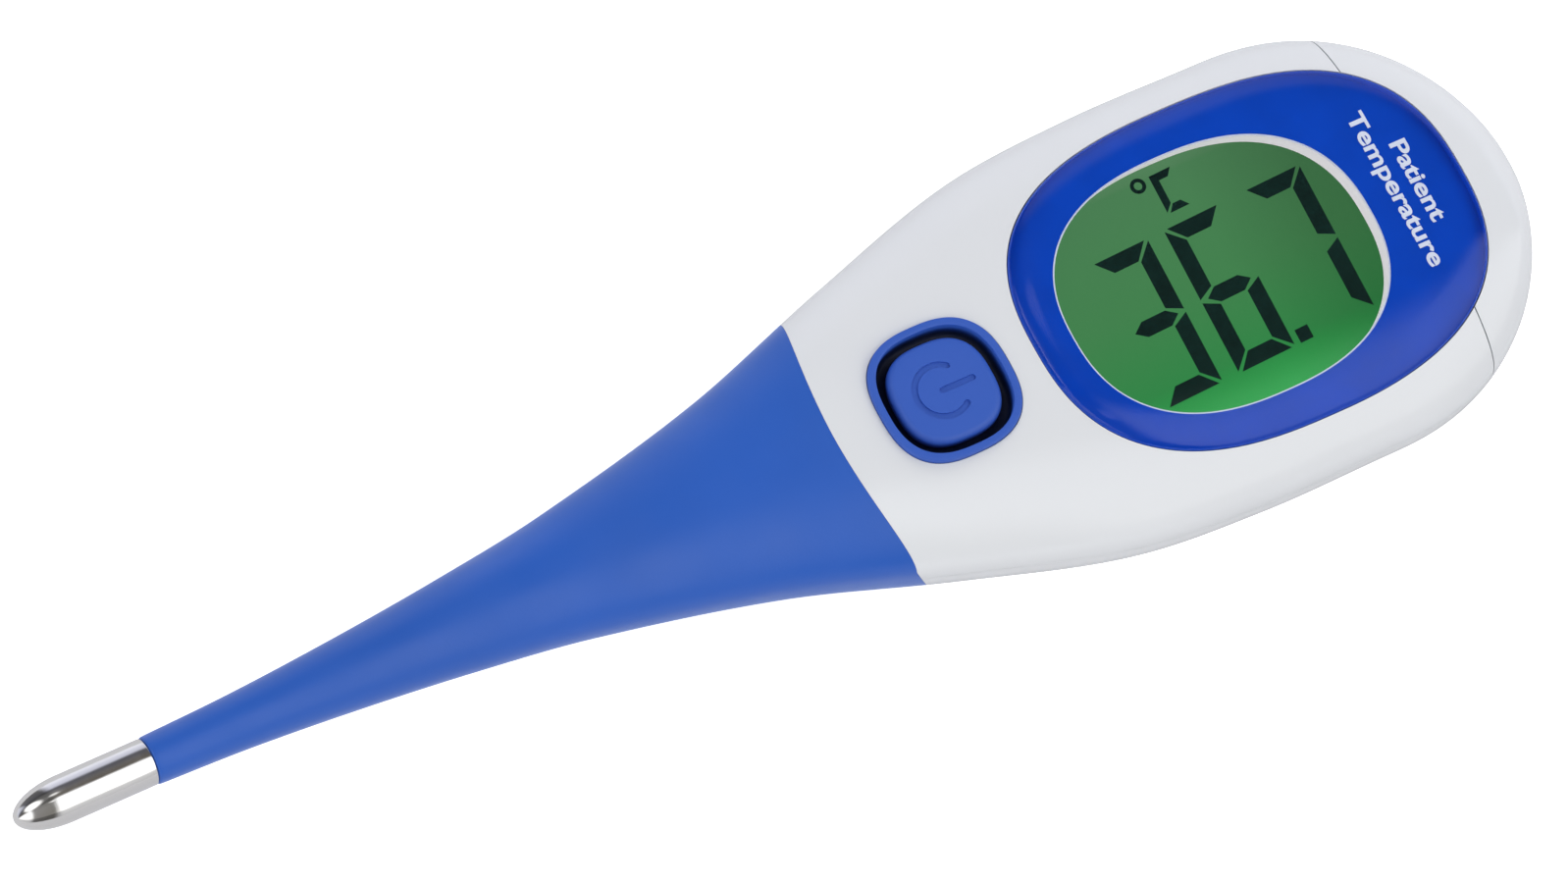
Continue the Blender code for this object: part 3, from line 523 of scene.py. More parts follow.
def lcd_green():
    """The backlit display: greenest at its -Y edge, greyer and a little lighter along its +Y edge, and dimmer towards
    the head.
    """
    shader = Shader("lcd_green", (0.01, 0.03, 0.01), 0.5)
    shader.set("Specular IOR Level", 0.0)
    split = shader.nodes.new("ShaderNodeSeparateXYZ")
    shader.links.new(shader.coordinates, split.inputs["Vector"])
    across = shader.remap(split.outputs["Y"], 1.0, 0.0, -11.5 * MM, 12 * MM)
    glow = shader.ramp(across, (
        (0.0, (0.085, 0.215, 0.10)), (0.055, (0.075, 0.200, 0.088)), (0.07, (0.062, 0.193, 0.078)),
        (0.5, (0.048, 0.203, 0.067)), (0.8, (0.024, 0.218, 0.054)), (1.0, (0.0, 0.350, 0.050))))
    shader.links.new(glow, shader.surface.inputs["Emission Color"])
    strength = shader.remap(split.outputs["X"], 1.0, 0.66, 2 * MM, 12 * MM)
    shader.links.new(strength, shader.surface.inputs["Emission Strength"])
    return shader.material


def lcd_segment():
    shader = Shader("lcd_segment", (0.004, 0.020, 0.016), 0.5)
    shader.set("Specular IOR Level", 0.0)
    shader.vary_colour(shader.noise(500, 3), 0.15)
    return shader.material


def thin_glass():
    """Polarised glass: a faint tint and a soft reflection."""
    shader = Shader("thin_glass", (0.9, 0.95, 0.9), 0.1)
    clear = shader.nodes.new("ShaderNodeBsdfTransparent")
    clear.inputs["Color"].default_value = (0.93, 0.96, 0.93, 1.0)
    gloss = shader.nodes.new("ShaderNodeBsdfGlossy")
    shader.links.new(shader.remap(shader.noise(900, 3), 0.15, 0.3), gloss.inputs["Roughness"])
    mix = shader.nodes.new("ShaderNodeMixShader")
    mix.inputs["Fac"].default_value = 0.03
    shader.links.new(clear.outputs["BSDF"], mix.inputs[1])
    shader.links.new(gloss.outputs["BSDF"], mix.inputs[2])
    shader.links.new(mix.outputs["Shader"], shader.output.inputs["Surface"])
    return shader.material


def plain(name, colour, roughness, metallic=0.0, grain=900, depth=0.003 * MM):
    """A moulded, plated or printed part: some variation in colour and gloss, and a fine grain."""
    shader = Shader(name, colour, roughness, metallic)
    shader.vary_colour(shader.noise(grain / 3, 4), 0.06)
    shader.vary_roughness(shader.noise(grain / 2, 4), roughness * 0.8, roughness * 1.25)
    shader.bump(shader.noise(grain, 3), depth)
    return shader.material


def window_wall():
    """White plastic with a faint painted glow, an emission that stands for the display's light falling on it."""
    shader = Shader("window_wall", (0.90, 0.84, 0.87), 0.4)
    shader.vary_colour(shader.noise(300, 3), 0.03)
    # painted light: the wall is no lamp, and this glow stands for the display's light falling on it
    shader.set("Emission Color", (1.0, 0.88, 0.95, 1.0))
    shader.set("Emission Strength", 0.28)
    return shader.material


def floor_white():
    """Light grey board that the camera sees burnt out to white, with a trace of contact shadow."""
    shader = Shader("floor_white", (0.72, 0.72, 0.735), 0.9)
    shader.vary_colour(shader.noise(20, 3), 0.01)
    shader.set("Specular IOR Level", 0.0)
    shader.set("Emission Color", (1.0, 1.0, 1.0, 1.0))
    seen = shader.nodes.new("ShaderNodeLightPath").outputs["Is Camera Ray"]
    shader.links.new(shader.remap(seen, 0.0, 0.85, 0.0, 1.0), shader.surface.inputs["Emission Strength"])
    return shader.material


def make_materials():
    return {
        "white_abs": white_abs(),
        "blue_tpe": blue_tpe(),
        "blue_rubber": blue_rubber(),
        "blue_print": blue_ink(),
        "white_ink": white_ink(),
        "polished_steel": polished_steel(),
        "lens_clear": clear_lens(),
        "lcd_green": lcd_green(),
        "lcd_segment": lcd_segment(),
        "lcd_glass": thin_glass(),
        "window_wall": window_wall(),
        "light_guide": plain("light_guide", (0.35, 0.75, 0.38), 0.25),
        "film_white": plain("film_white", (0.88, 0.88, 0.87), 0.5),
        "adhesive": plain("adhesive", (0.03, 0.03, 0.03), 0.6),
        "board_green": plain("board_green", (0.015, 0.14, 0.045), 0.35, grain=2500),
        "black_plastic": plain("black_plastic", (0.02, 0.02, 0.022), 0.42),
        "black_rubber": plain("black_rubber", (0.018, 0.018, 0.018), 0.62),
        "brass": plain("brass", (0.72, 0.50, 0.19), 0.26, 1.0, grain=1500),
        "ceramic": plain("ceramic", (0.78, 0.73, 0.62), 0.55),
        "nickel_plate": plain("nickel_plate", (0.62, 0.61, 0.58), 0.24, 1.0, grain=1800),
        "epoxy": plain("epoxy", (0.06, 0.055, 0.05), 0.3),
        "enamelled_wire": plain("enamelled_wire", (0.62, 0.25, 0.10), 0.25, 1.0),
        "red_wire": plain("red_wire", (0.5, 0.03, 0.03), 0.4),
    }


MATERIALS = make_materials()
SLOTS = {row["node"]: row["material_slot"] for row in frame["record"]["subparts"]}


def dress(obj, slot, body, *nodes):
    """Give a new piece its material and slot, and the body it rides on."""
    obj.data.materials.clear()
    obj.data.materials.append(MATERIALS[slot])
    if body:
        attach(obj, body)
    if nodes:
        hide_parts(*nodes)
    return obj


def dress_nodes():
    """Give every carried-over CAD node the material of its slot."""
    for name, node in frame["nodes"].items():
        node.data.materials.clear()
        slot = "lcd_green" if name == "diffuser_film" else SLOTS[name]
        node.data.materials.append(MATERIALS[slot])


# ---------------------------------------------------------------- housings and cap

def hollow():
    """The space inside both housings, up to the bulkhead."""
    xs = np.concatenate((np.linspace(-44 * MM, ROUND_START, 24), np.linspace(10 * MM, 15.5 * MM, 5)))
    return loft("hollow", [body_ring(x, WALL) for x in xs])


def junction_block():
    """Everything on the sleeve's side of the bowed junction."""
    reach = 20 * MM
    y = np.linspace(-reach, reach, 121)
    arc = np.stack((junction_x(y), y), -1)
    outline = np.concatenate((arc, ((-60 * MM, reach), (-60 * MM, -reach))))
    rings = [np.column_stack((outline, np.full(len(outline), z))) for z in (BELOW, ABOVE)]
    return loft("junction_block", rings)


def flare_block():
    """Everything on the sleeve's side of the junction's slanted part at the sides."""
    start, reach = -60 * MM, 20 * MM
    outline = [(start, ABOVE),
               *((float(flare_x(z)), z) for z in (ABOVE, FLARE_TOP, FLARE_TOP - FLARE_DEPTH, BELOW)),
               (start, BELOW)]
    return loft("flare_block", [[(x, y, z) for x, z in outline] for y in (-reach, reach)])


def cap_zone():
    """Everything past the cap's seam, but for the housing's tongue under the lens."""
    reach = 30 * MM
    zone = box("cap_zone", (CAP_SEAM - SEAM / 2, -reach, BELOW), (HEAD_X + reach, reach, ABOVE + MM))
    return cut(zone, [prism(lens_ring, -0.05 * MM, SEAT_Z - SEAT_THICK)])


def build_front_housing():
    xs = np.concatenate((np.linspace(-42 * MM, ROUND_START, 60), np.linspace(9.5 * MM, 24 * MM, 24)))
    housing = loft("front_housing_skin", [half_ring(x, 1) for x in xs])
    inside = cut(hollow(), [prism(lens_ring, 1.2 * MM, SEAT_Z - SEAT_THICK)])
    cut(housing, [
        junction_block(), flare_block(), inside, cap_zone(),
        prism(lens_ring, 0.07 * MM, SEAT_Z),
        prism(window_ring, 0.7 * MM, SEAT_Z - 3 * MM),
        prism(button_ring, RING_HALF + 0.05 * MM, SEAT_Z - 2 * MM),
    ])
    dress(body_shading(housing), "white_abs", "housing", "front_housing")


def build_rear_housing():
    xs = np.concatenate((np.linspace(junction_side(), ROUND_START, 55), np.linspace(9.5 * MM, CAP_SEAM - SEAM / 2, 12)))
    housing = loft("rear_housing_skin", [half_ring(x, -1) for x in xs])
    tray_low, tray_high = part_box("battery_tray")
    slot = box("slot", (tray_low.x, tray_low.y - 0.2 * MM, tray_low.z - 0.2 * MM),
               (CAP_SEAM + 5 * MM, tray_high.y + 0.2 * MM, tray_high.z + 0.2 * MM))
    corner = slot.modifiers.new("corner", "BEVEL")
    corner.width = 1.6 * MM
    corner.segments = 6
    apply_modifiers(slot)
    cut(housing, [flare_block(), hollow(), slot])
    dress(body_shading(housing), "white_abs", "housing", "rear_housing")


def build_battery_cap():
    start = CAP_SEAM + SEAM / 2

    def crowded(first, inset, count):
        end = HEAD_X - inset
        share = np.linspace(0, 1, count)
        return end - (end - first) * (1 - share) ** 2

    outer = [body_ring(x) for x in crowded(start, 0.0, 40)[:-1]]
    inner = [body_ring(x, WALL) for x in crowded(start - MM, WALL, 20)[:-1]]
    cap = loft("battery_cap_skin", outer)
    cut(cap, [loft("inside", inner), prism(lens_ring, 0.07 * MM, SEAT_Z - SEAT_THICK - 0.2 * MM)])
    dress(body_shading(cap), "white_abs", "battery_drawer", "battery_cap")


def rounded_box_ring(x, half, low, high, corner, steps=10):
    """A rounded rectangle across the body at x."""
    ring = []
    for y, z, start in ((half - corner, high - corner, 0), (corner - half, high - corner, 90),
                        (corner - half, low + corner, 180), (half - corner, low + corner, 270)):
        for angle in np.radians(np.linspace(start, start + 90, steps)):
            ring.append((x, y + corner * math.cos(angle), z + corner * math.sin(angle)))
    return ring


def build_battery_tray():
    """The sliding tray with its cell pocket, finger notch and seal groove, behind a clip tongue."""
    low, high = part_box("battery_tray")
    seal_low, seal_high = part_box("battery_seal")
    cell_low, cell_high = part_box("coin_cell")
    centre_x = (cell_low.x + cell_high.x) / 2
    radius = (cell_high.x - cell_low.x) / 2
    corner, edge = 1.4 * MM, 0.3 * MM
    front = CAP_SEAM - 0.45 * MM

    def tray_ring(x, grow=0.0):
        return rounded_box_ring(x, high.y + grow, low.z - grow, high.z + grow, corner + grow)

    body = loft("battery_tray_skin", [
        tray_ring(low.x, -edge), tray_ring(low.x + 0.3 * edge, -0.3 * edge), tray_ring(low.x + edge),
        tray_ring(front - edge), tray_ring(front - 0.3 * edge, -0.3 * edge), tray_ring(front, -edge)])
    tongue = loft("tongue", [rounded_box_ring(x, 6.5 * MM, 3.3 * MM, 5.6 * MM, 0.6 * MM) for x in (front - MM, high.x)])
    pocket = loft("pocket", [superellipse(centre_x, radius + grow, radius + grow, 2, z) for grow, z in (
        (0.12 * MM, cell_low.z - 0.08 * MM), (0.12 * MM, high.z - 0.3 * MM), (0.45 * MM, high.z + 0.05 * MM))])
    notch = loft("notch", [superellipse(centre_x + radius, 2.6 * MM, 3.2 * MM, 2, z)
                           for z in (high.z - 1.3 * MM, high.z + MM)])
    depth, half = 0.85 * MM, (seal_high.x - seal_low.x) / 2 + 0.15 * MM
    middle = (seal_high.x + seal_low.x) / 2
    groove = loft("groove", [tray_ring(middle + along, grow) for grow, along in (
        (MM, -half), (MM, half), (-depth, half), (-depth, -half))], loop=True)
    cut(body, [tongue], "UNION")
    cut(body, [pocket, notch, groove])
    dress(smooth(body, 35), "white_abs", "battery_drawer", "battery_tray")


def build_coin_cell():
    """A lithium cell: crimped can, recessed seal ring and a slightly narrower lid."""
    low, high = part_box("coin_cell")
    centre_x, radius = (low.x + high.x) / 2, (high.x - low.x) / 2
    roll = 0.3 * MM
    lid = radius - 1.1 * MM
    can_top = high.z - 0.45 * MM
    profile = [(0.3 * MM, low.z + 0.06 * MM), (radius - 1.5 * MM, low.z + 0.06 * MM), (radius - 1.1 * MM, low.z)]
    for i in range(7):
        angle = math.pi / 2 * i / 6
        profile.append((radius - roll * (1 - math.sin(angle)), low.z + roll * (1 - math.cos(angle))))
    for i in range(7):
        angle = math.pi / 2 * i / 6
        profile.append((radius - roll * (1 - math.cos(angle)), can_top - roll * (1 - math.sin(angle))))
    profile += [(lid + 0.35 * MM, can_top), (lid + 0.3 * MM, can_top - 0.25 * MM), (lid, can_top - 0.25 * MM)]
    for i in range(7):
        angle = math.pi / 2 * i / 6
        profile.append((lid - roll * (1 - math.cos(angle)), high.z - roll * (1 - math.sin(angle))))
    profile.append((0.3 * MM, high.z))
    cell = loft("coin_cell_skin", [superellipse(centre_x, size, size, 2, z) for size, z in profile])
    dress(smooth(cell, 35), "nickel_plate", "battery_drawer", "coin_cell")


def build_seal():
    """The drawer's sealing cord, standing slightly proud of the tray."""
    low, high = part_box("battery_seal")
    radius = (high.x - low.x) / 2
    middle = (high.x + low.x) / 2
    rings = []
    for angle in ring_angles(20):
        grow = radius * math.sin(angle)
        rings.append(rounded_box_ring(middle + radius * math.cos(angle), high.y - radius + grow,
                                      low.z + radius - grow, high.z - radius + grow, 1.2 * MM + grow))
    dress(smooth(loft("battery_seal_skin", rings, loop=True), 50), "black_rubber", "battery_drawer", "battery_seal")


# ---------------------------------------------------------------- probe


def circle_ring(x, radius):
    angle = ring_angles()
    return np.stack((np.full_like(angle, x), radius * np.cos(angle), PARTING_Z + radius * np.sin(angle)), -1)


def build_sleeve():
    """Two halves that meet without a mark between the bends."""
    front_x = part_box("flexible_sleeve")[0].x - 0.06 * MM
    socket = WALL + 0.15 * MM
    bore = 1.25 * MM
    lip = 0.02 * MM
    rear_xs = np.linspace(SPLIT_X, JUNCTION_X - 3 * MM, 60)
    rings = [body_ring(SPLIT_X)] + [body_ring(x) for x in rear_xs[1:]]
    rings += [junction_ring(0.0, -2 * MM), junction_ring(0.0, -MM), junction_ring(0.0, -lip)]
    rings += [junction_ring(socket, -lip), junction_ring(socket, -3 * MM)]
    rings += [body_ring(x, socket) for x in (-42 * MM, -46 * MM, -50.3 * MM)]
    rings += [circle_ring(x, bore) for x in np.linspace(-50.3 * MM, SPLIT_X, 24)]
    rear = smooth(loft("sleeve_rear_skin", rings, loop=True), 50)
    dress(rear, "blue_tpe", None, "flexible_sleeve")
    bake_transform(rear)

    pocket = 1.7 * MM
    shank = -92.9 * MM
    rounding = 0.25 * MM
    rings = [circle_ring(front_x, STATIONS[0, 1] - rounding)]
    for i in range(1, 5):
        angle = math.pi / 2 * i / 4
        x = front_x + rounding * (1 - math.cos(angle))
        rings.append(circle_ring(x, STATIONS[0, 1] - rounding * (1 - math.sin(angle))))
    rings += [body_ring(x) for x in np.linspace(front_x + 0.6 * MM, SPLIT_X, 50)]
    rings += [circle_ring(x, bore) for x in np.linspace(SPLIT_X, shank, 20)]
    rings += [circle_ring(shank, pocket), circle_ring(front_x, pocket)]
    front = smooth(loft("sleeve_front_skin", rings, loop=True), 50)
    dress(front, "blue_tpe", None)
    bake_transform(front)


def build_tip():
    """A fine turned cup: elliptical nose, straight barrel, rolled rear rim and a narrower shank."""
    low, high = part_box("tip_cap")
    radius = (high.y - low.y) / 2
    nose = 4.5 * MM
    rim = -98.3 * MM
    shank_radius, wall, roll = 1.6 * MM, 0.25 * MM, 0.12 * MM
    profile = []
    for i in range(25):
        angle = math.pi / 2 * i / 24
        profile.append((low.x + nose * (1 - math.cos(angle)), radius * math.sin(angle)))
    profile += [(x, radius) for x in np.linspace(low.x + nose + 0.3 * MM, rim - roll, 10)]
    for i in range(1, 5):
        angle = math.pi / 2 * i / 4
        profile.append((rim - roll + roll * math.sin(angle), radius - roll * (1 - math.cos(angle))))
    bore = shank_radius - wall
    profile += [(rim, shank_radius), (high.x, shank_radius), (high.x, bore), (low.x + nose, bore)]
    for i in range(7, -1, -1):
        angle = math.pi / 2 * i / 8
        profile.append((low.x + nose - (nose - 2 * wall) * math.cos(angle), bore * math.sin(angle)))
    count = 96
    points = [(profile[0][0], 0, PARTING_Z)]
    angles = ring_angles(count)
    for x, r in profile[1:-1]:
        points += [(x, r * math.cos(a), PARTING_Z + r * math.sin(a)) for a in angles]
    points.append((profile[-1][0], 0, PARTING_Z))
    faces = [(0, 1 + i, 1 + (i + 1) % count) for i in range(count)]
    for row in range(len(profile) - 3):
        first = 1 + row * count
        for i in range(count):
            j = (i + 1) % count
            faces.append((first + i, first + count + i, first + count + j, first + j))
    last = 1 + (len(profile) - 3) * count
    faces += [(last + i, len(points) - 1, last + (i + 1) % count) for i in range(count)]
    tip = mesh_object("tip_cap_skin", points, faces)
    make_normals_outward(tip)
    dress(smooth(tip, 40), "polished_steel", "probe_tip", "tip_cap")


def tube(name, centres, radius, count=12):
    """A closed round tube along a path that runs mostly along X."""
    angle = ring_angles(count)
    rings = []
    for x, y, z in centres:
        rings.append(np.stack((np.full(count, x), y + radius * np.cos(angle), z + radius * np.sin(angle)), -1))
    return smooth(loft(name, rings))


def build_leads():
    """Each lead is two tubes, which meet where the sleeve is split."""
    for name, side in (("sensor_lead_a", 1), ("sensor_lead_b", -1)):
        low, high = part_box(name)
        radius = 0.2 * MM
        spread = 0.35 * MM
        board_y, board_z = 1.5 * MM, low.z + radius
        straight = [(x, side * spread, PARTING_Z) for x in np.linspace(SPLIT_X, -52 * MM, 30)]
        bent = [(-42 * MM, side * 0.9 * MM, PARTING_Z), (-34 * MM, side * board_y, board_z + 0.2 * MM),
                (high.x, side * board_y, board_z)]
        rear = tube(name + "_rear", straight + bent, radius)
        dress(rear, "enamelled_wire", None, name)
        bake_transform(rear)
        route = [(x, side * spread, PARTING_Z) for x in np.linspace(low.x, SPLIT_X, 30)]
        front = tube(name + "_front", route, radius)
        dress(front, "enamelled_wire", None)
        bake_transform(front)


# ---------------------------------------------------------------- lens and display

def build_lens():
    rings = [lens_ring(-0.1 * MM, LENS_LOW.z), lens_ring(0.0, LENS_LOW.z + 0.1 * MM)]
    inwards = np.concatenate((LENS_ROLL * np.linspace(0, 1, 28) ** 2, np.linspace(3.6 * MM, 14.6 * MM, 22)))
    for inward in inwards:
        lift = LENS_EDGE * math.sqrt(1 - (1 - min(inward / LENS_EDGE, 1)) ** 2)
        lift += (LENS_LIFT - LENS_EDGE) * (1 - (1 - min(inward / LENS_ROLL, 1)) ** 2.5)
        ring = lens_ring(-inward, 0.0)
        ring[:, 2] = top_height(ring[:, 0], ring[:, 1]) + lift
        rings.append(ring)
    dress(smooth(loft("display_lens_skin", rings), 30), "lens_clear", "housing", "display_lens")


def build_window_wall():
    """The pale moulded wall between the display glass and the printed window."""
    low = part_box("lcd_front_glass")[1].z + 0.07 * MM
    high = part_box("lens_adhesive")[0].z
    rings = [window_ring(offset, z) for offset, z in (
        (0.65 * MM, low), (0.65 * MM, high), (0.05 * MM, high), (-0.03 * MM, low))]
    rings[-1] += (-0.24 * MM, 0.1 * MM, 0)
    dress(smooth(loft("window_wall", rings, loop=True), 30), "window_wall", "housing")


def build_print():
    """Blue ink, also round the lens's edge, over a slightly wider pale layer that shows as a light line round the
    window.
    """
    low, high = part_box("lens_print")
    pale_margin = 0.14 * MM
    middle = (low.z + high.z) / 2
    collar = [lens_ring(-0.02 * MM, 0.0), lens_ring(-0.14 * MM, 0.0)]
    for ring in collar:
        ring[:, 2] = top_height(ring[:, 0], ring[:, 1]) - 0.06 * MM
    layers = (
        ("lens_print_skin", "blue_print", 0.0, middle, high.z, ("lens_print",)),
        ("print_pale_line", "white_ink", -pale_margin, low.z, middle - 0.01 * MM, ()))
    for name, slot, offset, bottom, top, nodes in layers:
        outer = [lens_ring(-0.02 * MM, bottom), lens_ring(-0.02 * MM, top)]
        if nodes:
            outer = [outer[0], *collar, lens_ring(-0.14 * MM, top)]
        rings = outer + [window_ring(offset, top), window_ring(offset, bottom)]
        dress(smooth(loft(name, rings, loop=True)), slot, "housing", *nodes)


DIGIT_LOW = -7.86 * MM
DIGIT_HIGH = 5.89 * MM
DIGIT_WIDTH = 5.44 * MM
STROKE = 1.42 * MM
SEGMENT_GAP = 0.16 * MM
SLANT = 0.028                   # the digits lean towards the head
TURN = 0.0405                   # and the whole display sits slightly turned


def segment_outlines(left, low, width, height, stroke, gap):
    """The seven mitred segments of a digit, keyed by the usual letters."""
    right, high = left + width, low + height
    middle = (low + high) / 2
    slant = stroke / 2
    return {
        "a": [(left + 2 * gap, high), (right - 2 * gap, high), (right - gap - stroke, high - stroke),
              (left + gap + stroke, high - stroke)],
        "d": [(left + 2 * gap, low), (left + gap + stroke, low + stroke),
              (right - gap - stroke, low + stroke), (right - 2 * gap, low)],
        "f": [(left, high - gap), (left + stroke, high - gap - stroke),
              (left + stroke, middle + slant + gap), (left, middle + gap)],
        "b": [(right, high - gap), (right, middle + gap), (right - stroke, middle + slant + gap),
              (right - stroke, high - gap - stroke)],
        "e": [(left, low + gap), (left, middle - gap), (left + stroke, middle - slant - gap),
              (left + stroke, low + gap + stroke)],
        "c": [(right, low + gap), (right - stroke, low + gap + stroke),
              (right - stroke, middle - slant - gap), (right, middle - gap)],
        "g": [(left + 4 * gap, middle), (left + stroke + gap, middle + slant),
              (right - stroke - gap, middle + slant),
              (right - 4 * gap, middle), (right - stroke - gap, middle - slant),
              (left + stroke + gap, middle - slant)],
    }


def plate(name, outline, low, thickness):
    rings = [[(x, y, z) for x, y in outline] for z in (low, low + thickness)]
    return loft(name, rings)


def turned(outline):
    return [(x + SLANT * y, y + TURN * x) for x, y in outline]


def build_readout():
    """The reading 36.7, the degree ring and the unit letter, printed by the crystal under the glass."""
    glass_low, glass_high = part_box("lcd_front_glass")
    edge = 0.05 * MM
    film = box("polariser", (glass_low.x + edge, glass_low.y + edge, glass_high.z + 0.005 * MM),
               (glass_high.x - edge, glass_high.y - edge, glass_high.z + 0.02 * MM))
    dress(film, "lcd_green", "housing")
    low = glass_high.z + 0.03 * MM
    thick = 0.03 * MM
    outlines = []
    for left, lit in ((-8.73 * MM, "abgcd"), (-1.68 * MM, "afgedc"), (6.06 * MM, "abc")):
        shapes = segment_outlines(left, DIGIT_LOW, DIGIT_WIDTH, DIGIT_HIGH - DIGIT_LOW, STROKE, SEGMENT_GAP)
        outlines += [shapes[letter] for letter in lit]
    left, low_y, high_y, stroke, gap = -0.65 * MM, 7.0 * MM, 10.6 * MM, 0.66 * MM, 0.12 * MM
    unit = segment_outlines(left, low_y, 2.3 * MM, high_y - low_y, stroke, gap)
    hook = [(left, low_y + gap), (left, high_y), unit["a"][1], unit["a"][2], (left + stroke, high_y - stroke),
            (left + stroke, low_y + gap + stroke)]
    outlines += [hook, unit["d"]]
    dot = 0.61 * MM
    dot_x, dot_y = 4.93 * MM, -7.26 * MM
    outlines.append([(dot_x - dot, dot_y - dot), (dot_x + dot, dot_y - dot), (dot_x + dot, dot_y + dot),
                     (dot_x - dot, dot_y + dot)])
    shapes = [plate("segment", turned(outline), low, thick) for outline in outlines]
    degree = [superellipse(-1.55 * MM, radius, radius, 2, z, 48) + (0, 10.2 * MM, 0) for radius, z in (
        (0.68 * MM, low), (0.68 * MM, low + thick), (0.36 * MM, low + thick), (0.36 * MM, low))]
    shapes.append(loft("degree", degree, loop=True))
    dress(join("lcd_readout", shapes), "lcd_segment", "housing")


def join(name, objects):
    """Merge several meshes into one object."""
    points, faces = [], []
    for obj in objects:
        start = len(points)
        points += [tuple(v.co) for v in obj.data.vertices]
        faces += [[start + i for i in polygon.vertices] for polygon in obj.data.polygons]
        bpy.data.objects.remove(obj, do_unlink=True)
    return mesh_object(name, points, faces)


def build_lettering():
    """Generic white words printed at the head end of the lens, read from +Y to -Y."""
    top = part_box("lens_print")[1].z
    for name, words, x in (("lettering_upper", "Patient", 18.8 * MM), ("lettering_lower", "Temperature", 16.7 * MM)):
        curve = bpy.data.curves.new(name, "FONT")
        curve.body = words
        curve.size = 2.1 * MM
        curve.offset = 0.05 * MM
        curve.align_x = "CENTER"
        curve.align_y = "BOTTOM_BASELINE"
        curve.extrude = 0.01 * MM
        text = bpy.data.objects.new(name, curve)
        bpy.context.scene.collection.objects.link(text)
        text.rotation_euler = (0, 0, -math.pi / 2)
        text.scale = (1.32, 1, 1)
        text.location = (x, 0.6 * MM, top + 0.03 * MM)
        bpy.context.view_layer.update()
        graph = bpy.context.evaluated_depsgraph_get()
        mesh = bpy.data.meshes.new_from_object(text.evaluated_get(graph))
        mesh.transform(text.matrix_world)
        bpy.data.objects.remove(text, do_unlink=True)
        letters = bpy.data.objects.new(name, mesh)
        bpy.context.scene.collection.objects.link(letters)
        dress(letters, "white_ink", "housing")


# ---------------------------------------------------------------- button

def rounded_rings(profile):
    return [button_ring(half, z) for half, z in profile]


def build_button_surround():
    low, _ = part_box("button_surround")
    rim_top = BUTTON_TOP
    web_top = SEAT_Z + 0.2 * MM
    flange_top = SEAT_Z - 0.1 * MM
    bead = 0.14 * MM
    profile = [(2.0 * MM, low.z), (6.9 * MM, low.z), (6.9 * MM, flange_top), (RING_HALF, flange_top)]
    for centre, first in ((RING_HALF - bead, 0), (RING_INNER + bead, 90)):
        for angle in np.radians(np.linspace(first, first + 90, 6)):
            profile.append((centre + bead * math.cos(angle), rim_top - bead + bead * math.sin(angle)))
    profile += [(RING_INNER, web_top + 0.3 * MM), (RING_INNER - 0.3 * MM, web_top), (2.0 * MM, web_top)]
    ring = smooth(loft("button_surround_skin", rounded_rings(profile), loop=True), 50)
    dress(ring, "blue_rubber", "housing", "button_surround")


def build_switch_dome():
    """The snap dome under the plunger."""
    low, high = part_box("switch_dome")
    sheet = 0.12 * MM
    radius, crown = (high.x - low.x) / 2, high.z - low.z - sheet
    spread = np.linspace(0.02, 1, 8)
    profile = [(radius * s, low.z + sheet + crown * (1 - s * s)) for s in spread]
    profile += [(radius * s, low.z + crown * (1 - s * s)) for s in spread[::-1]]
    rings = [superellipse(BUTTON_X, r, r, 2, z, 32) for r, z in profile]
    dome = smooth(loft("switch_dome_skin", rings, loop=True), 40)
    dress(dome, "nickel_plate", "housing", "switch_dome")
    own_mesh(dome)


def icon_stroke(points, half):
    """A rounded stroke's outline round a path of points, as one closed loop."""
    points = np.array(points)
    direction = np.gradient(points, axis=0)
    direction /= np.linalg.norm(direction, axis=1, keepdims=True)
    side = np.stack((-direction[:, 1], direction[:, 0]), -1)
    left, right = points + half * side, points - half * side

    def end_cap(centre, start):
        base = math.atan2(*(start - centre)[::-1])
        angles = base - np.linspace(0, math.pi, 9)[1:-1]
        return centre + half * np.stack((np.cos(angles), np.sin(angles)), -1)

    return np.concatenate((left, end_cap(points[-1], left[-1]), right[::-1], end_cap(points[0], right[0])))


def build_power_button():
    """A crowned pad with the power symbol sunk into it, opening towards the head."""
    edge = 0.6 * MM
    top = BUTTON_TOP - 0.2 * MM
    stem = 1.4 * MM
    pad_low = SEAT_Z + 0.85 * MM
    profile = [(stem, PAD_LOW.z), (stem, pad_low), (PAD_HALF, pad_low)]
    for i in range(10):
        angle = math.pi / 2 * i / 9
        profile.append((PAD_HALF - edge * (1 - math.cos(angle)), top - edge * (1 - math.sin(angle))))
    crown = np.linspace(PAD_HALF - edge, 0.1 * MM, 8)[1:]
    profile += [(half, top + 0.04 * MM * (1 - (half / (PAD_HALF - edge)) ** 2)) for half in crown]
    pad = loft("power_button_skin", rounded_rings(profile))
    radius, half = 2.27 * MM, 0.27 * MM
    middle = BUTTON_X - 0.25 * MM
    arc = [(middle + radius * math.cos(a), radius * math.sin(a)) for a in np.radians(np.linspace(52, 308, 61))]
    bar = [(x, 0.0) for x in np.linspace(middle + 0.05 * MM, middle + 2.85 * MM, 9)]
    sunk = top - 0.16 * MM
    cut(pad, [plate("icon", icon_stroke(path, half), sunk, 2 * MM) for path in (arc, bar)])
    dress(smooth(pad, 30), "blue_rubber", "power_button", "power_button")


# ---------------------------------------------------------------- stage

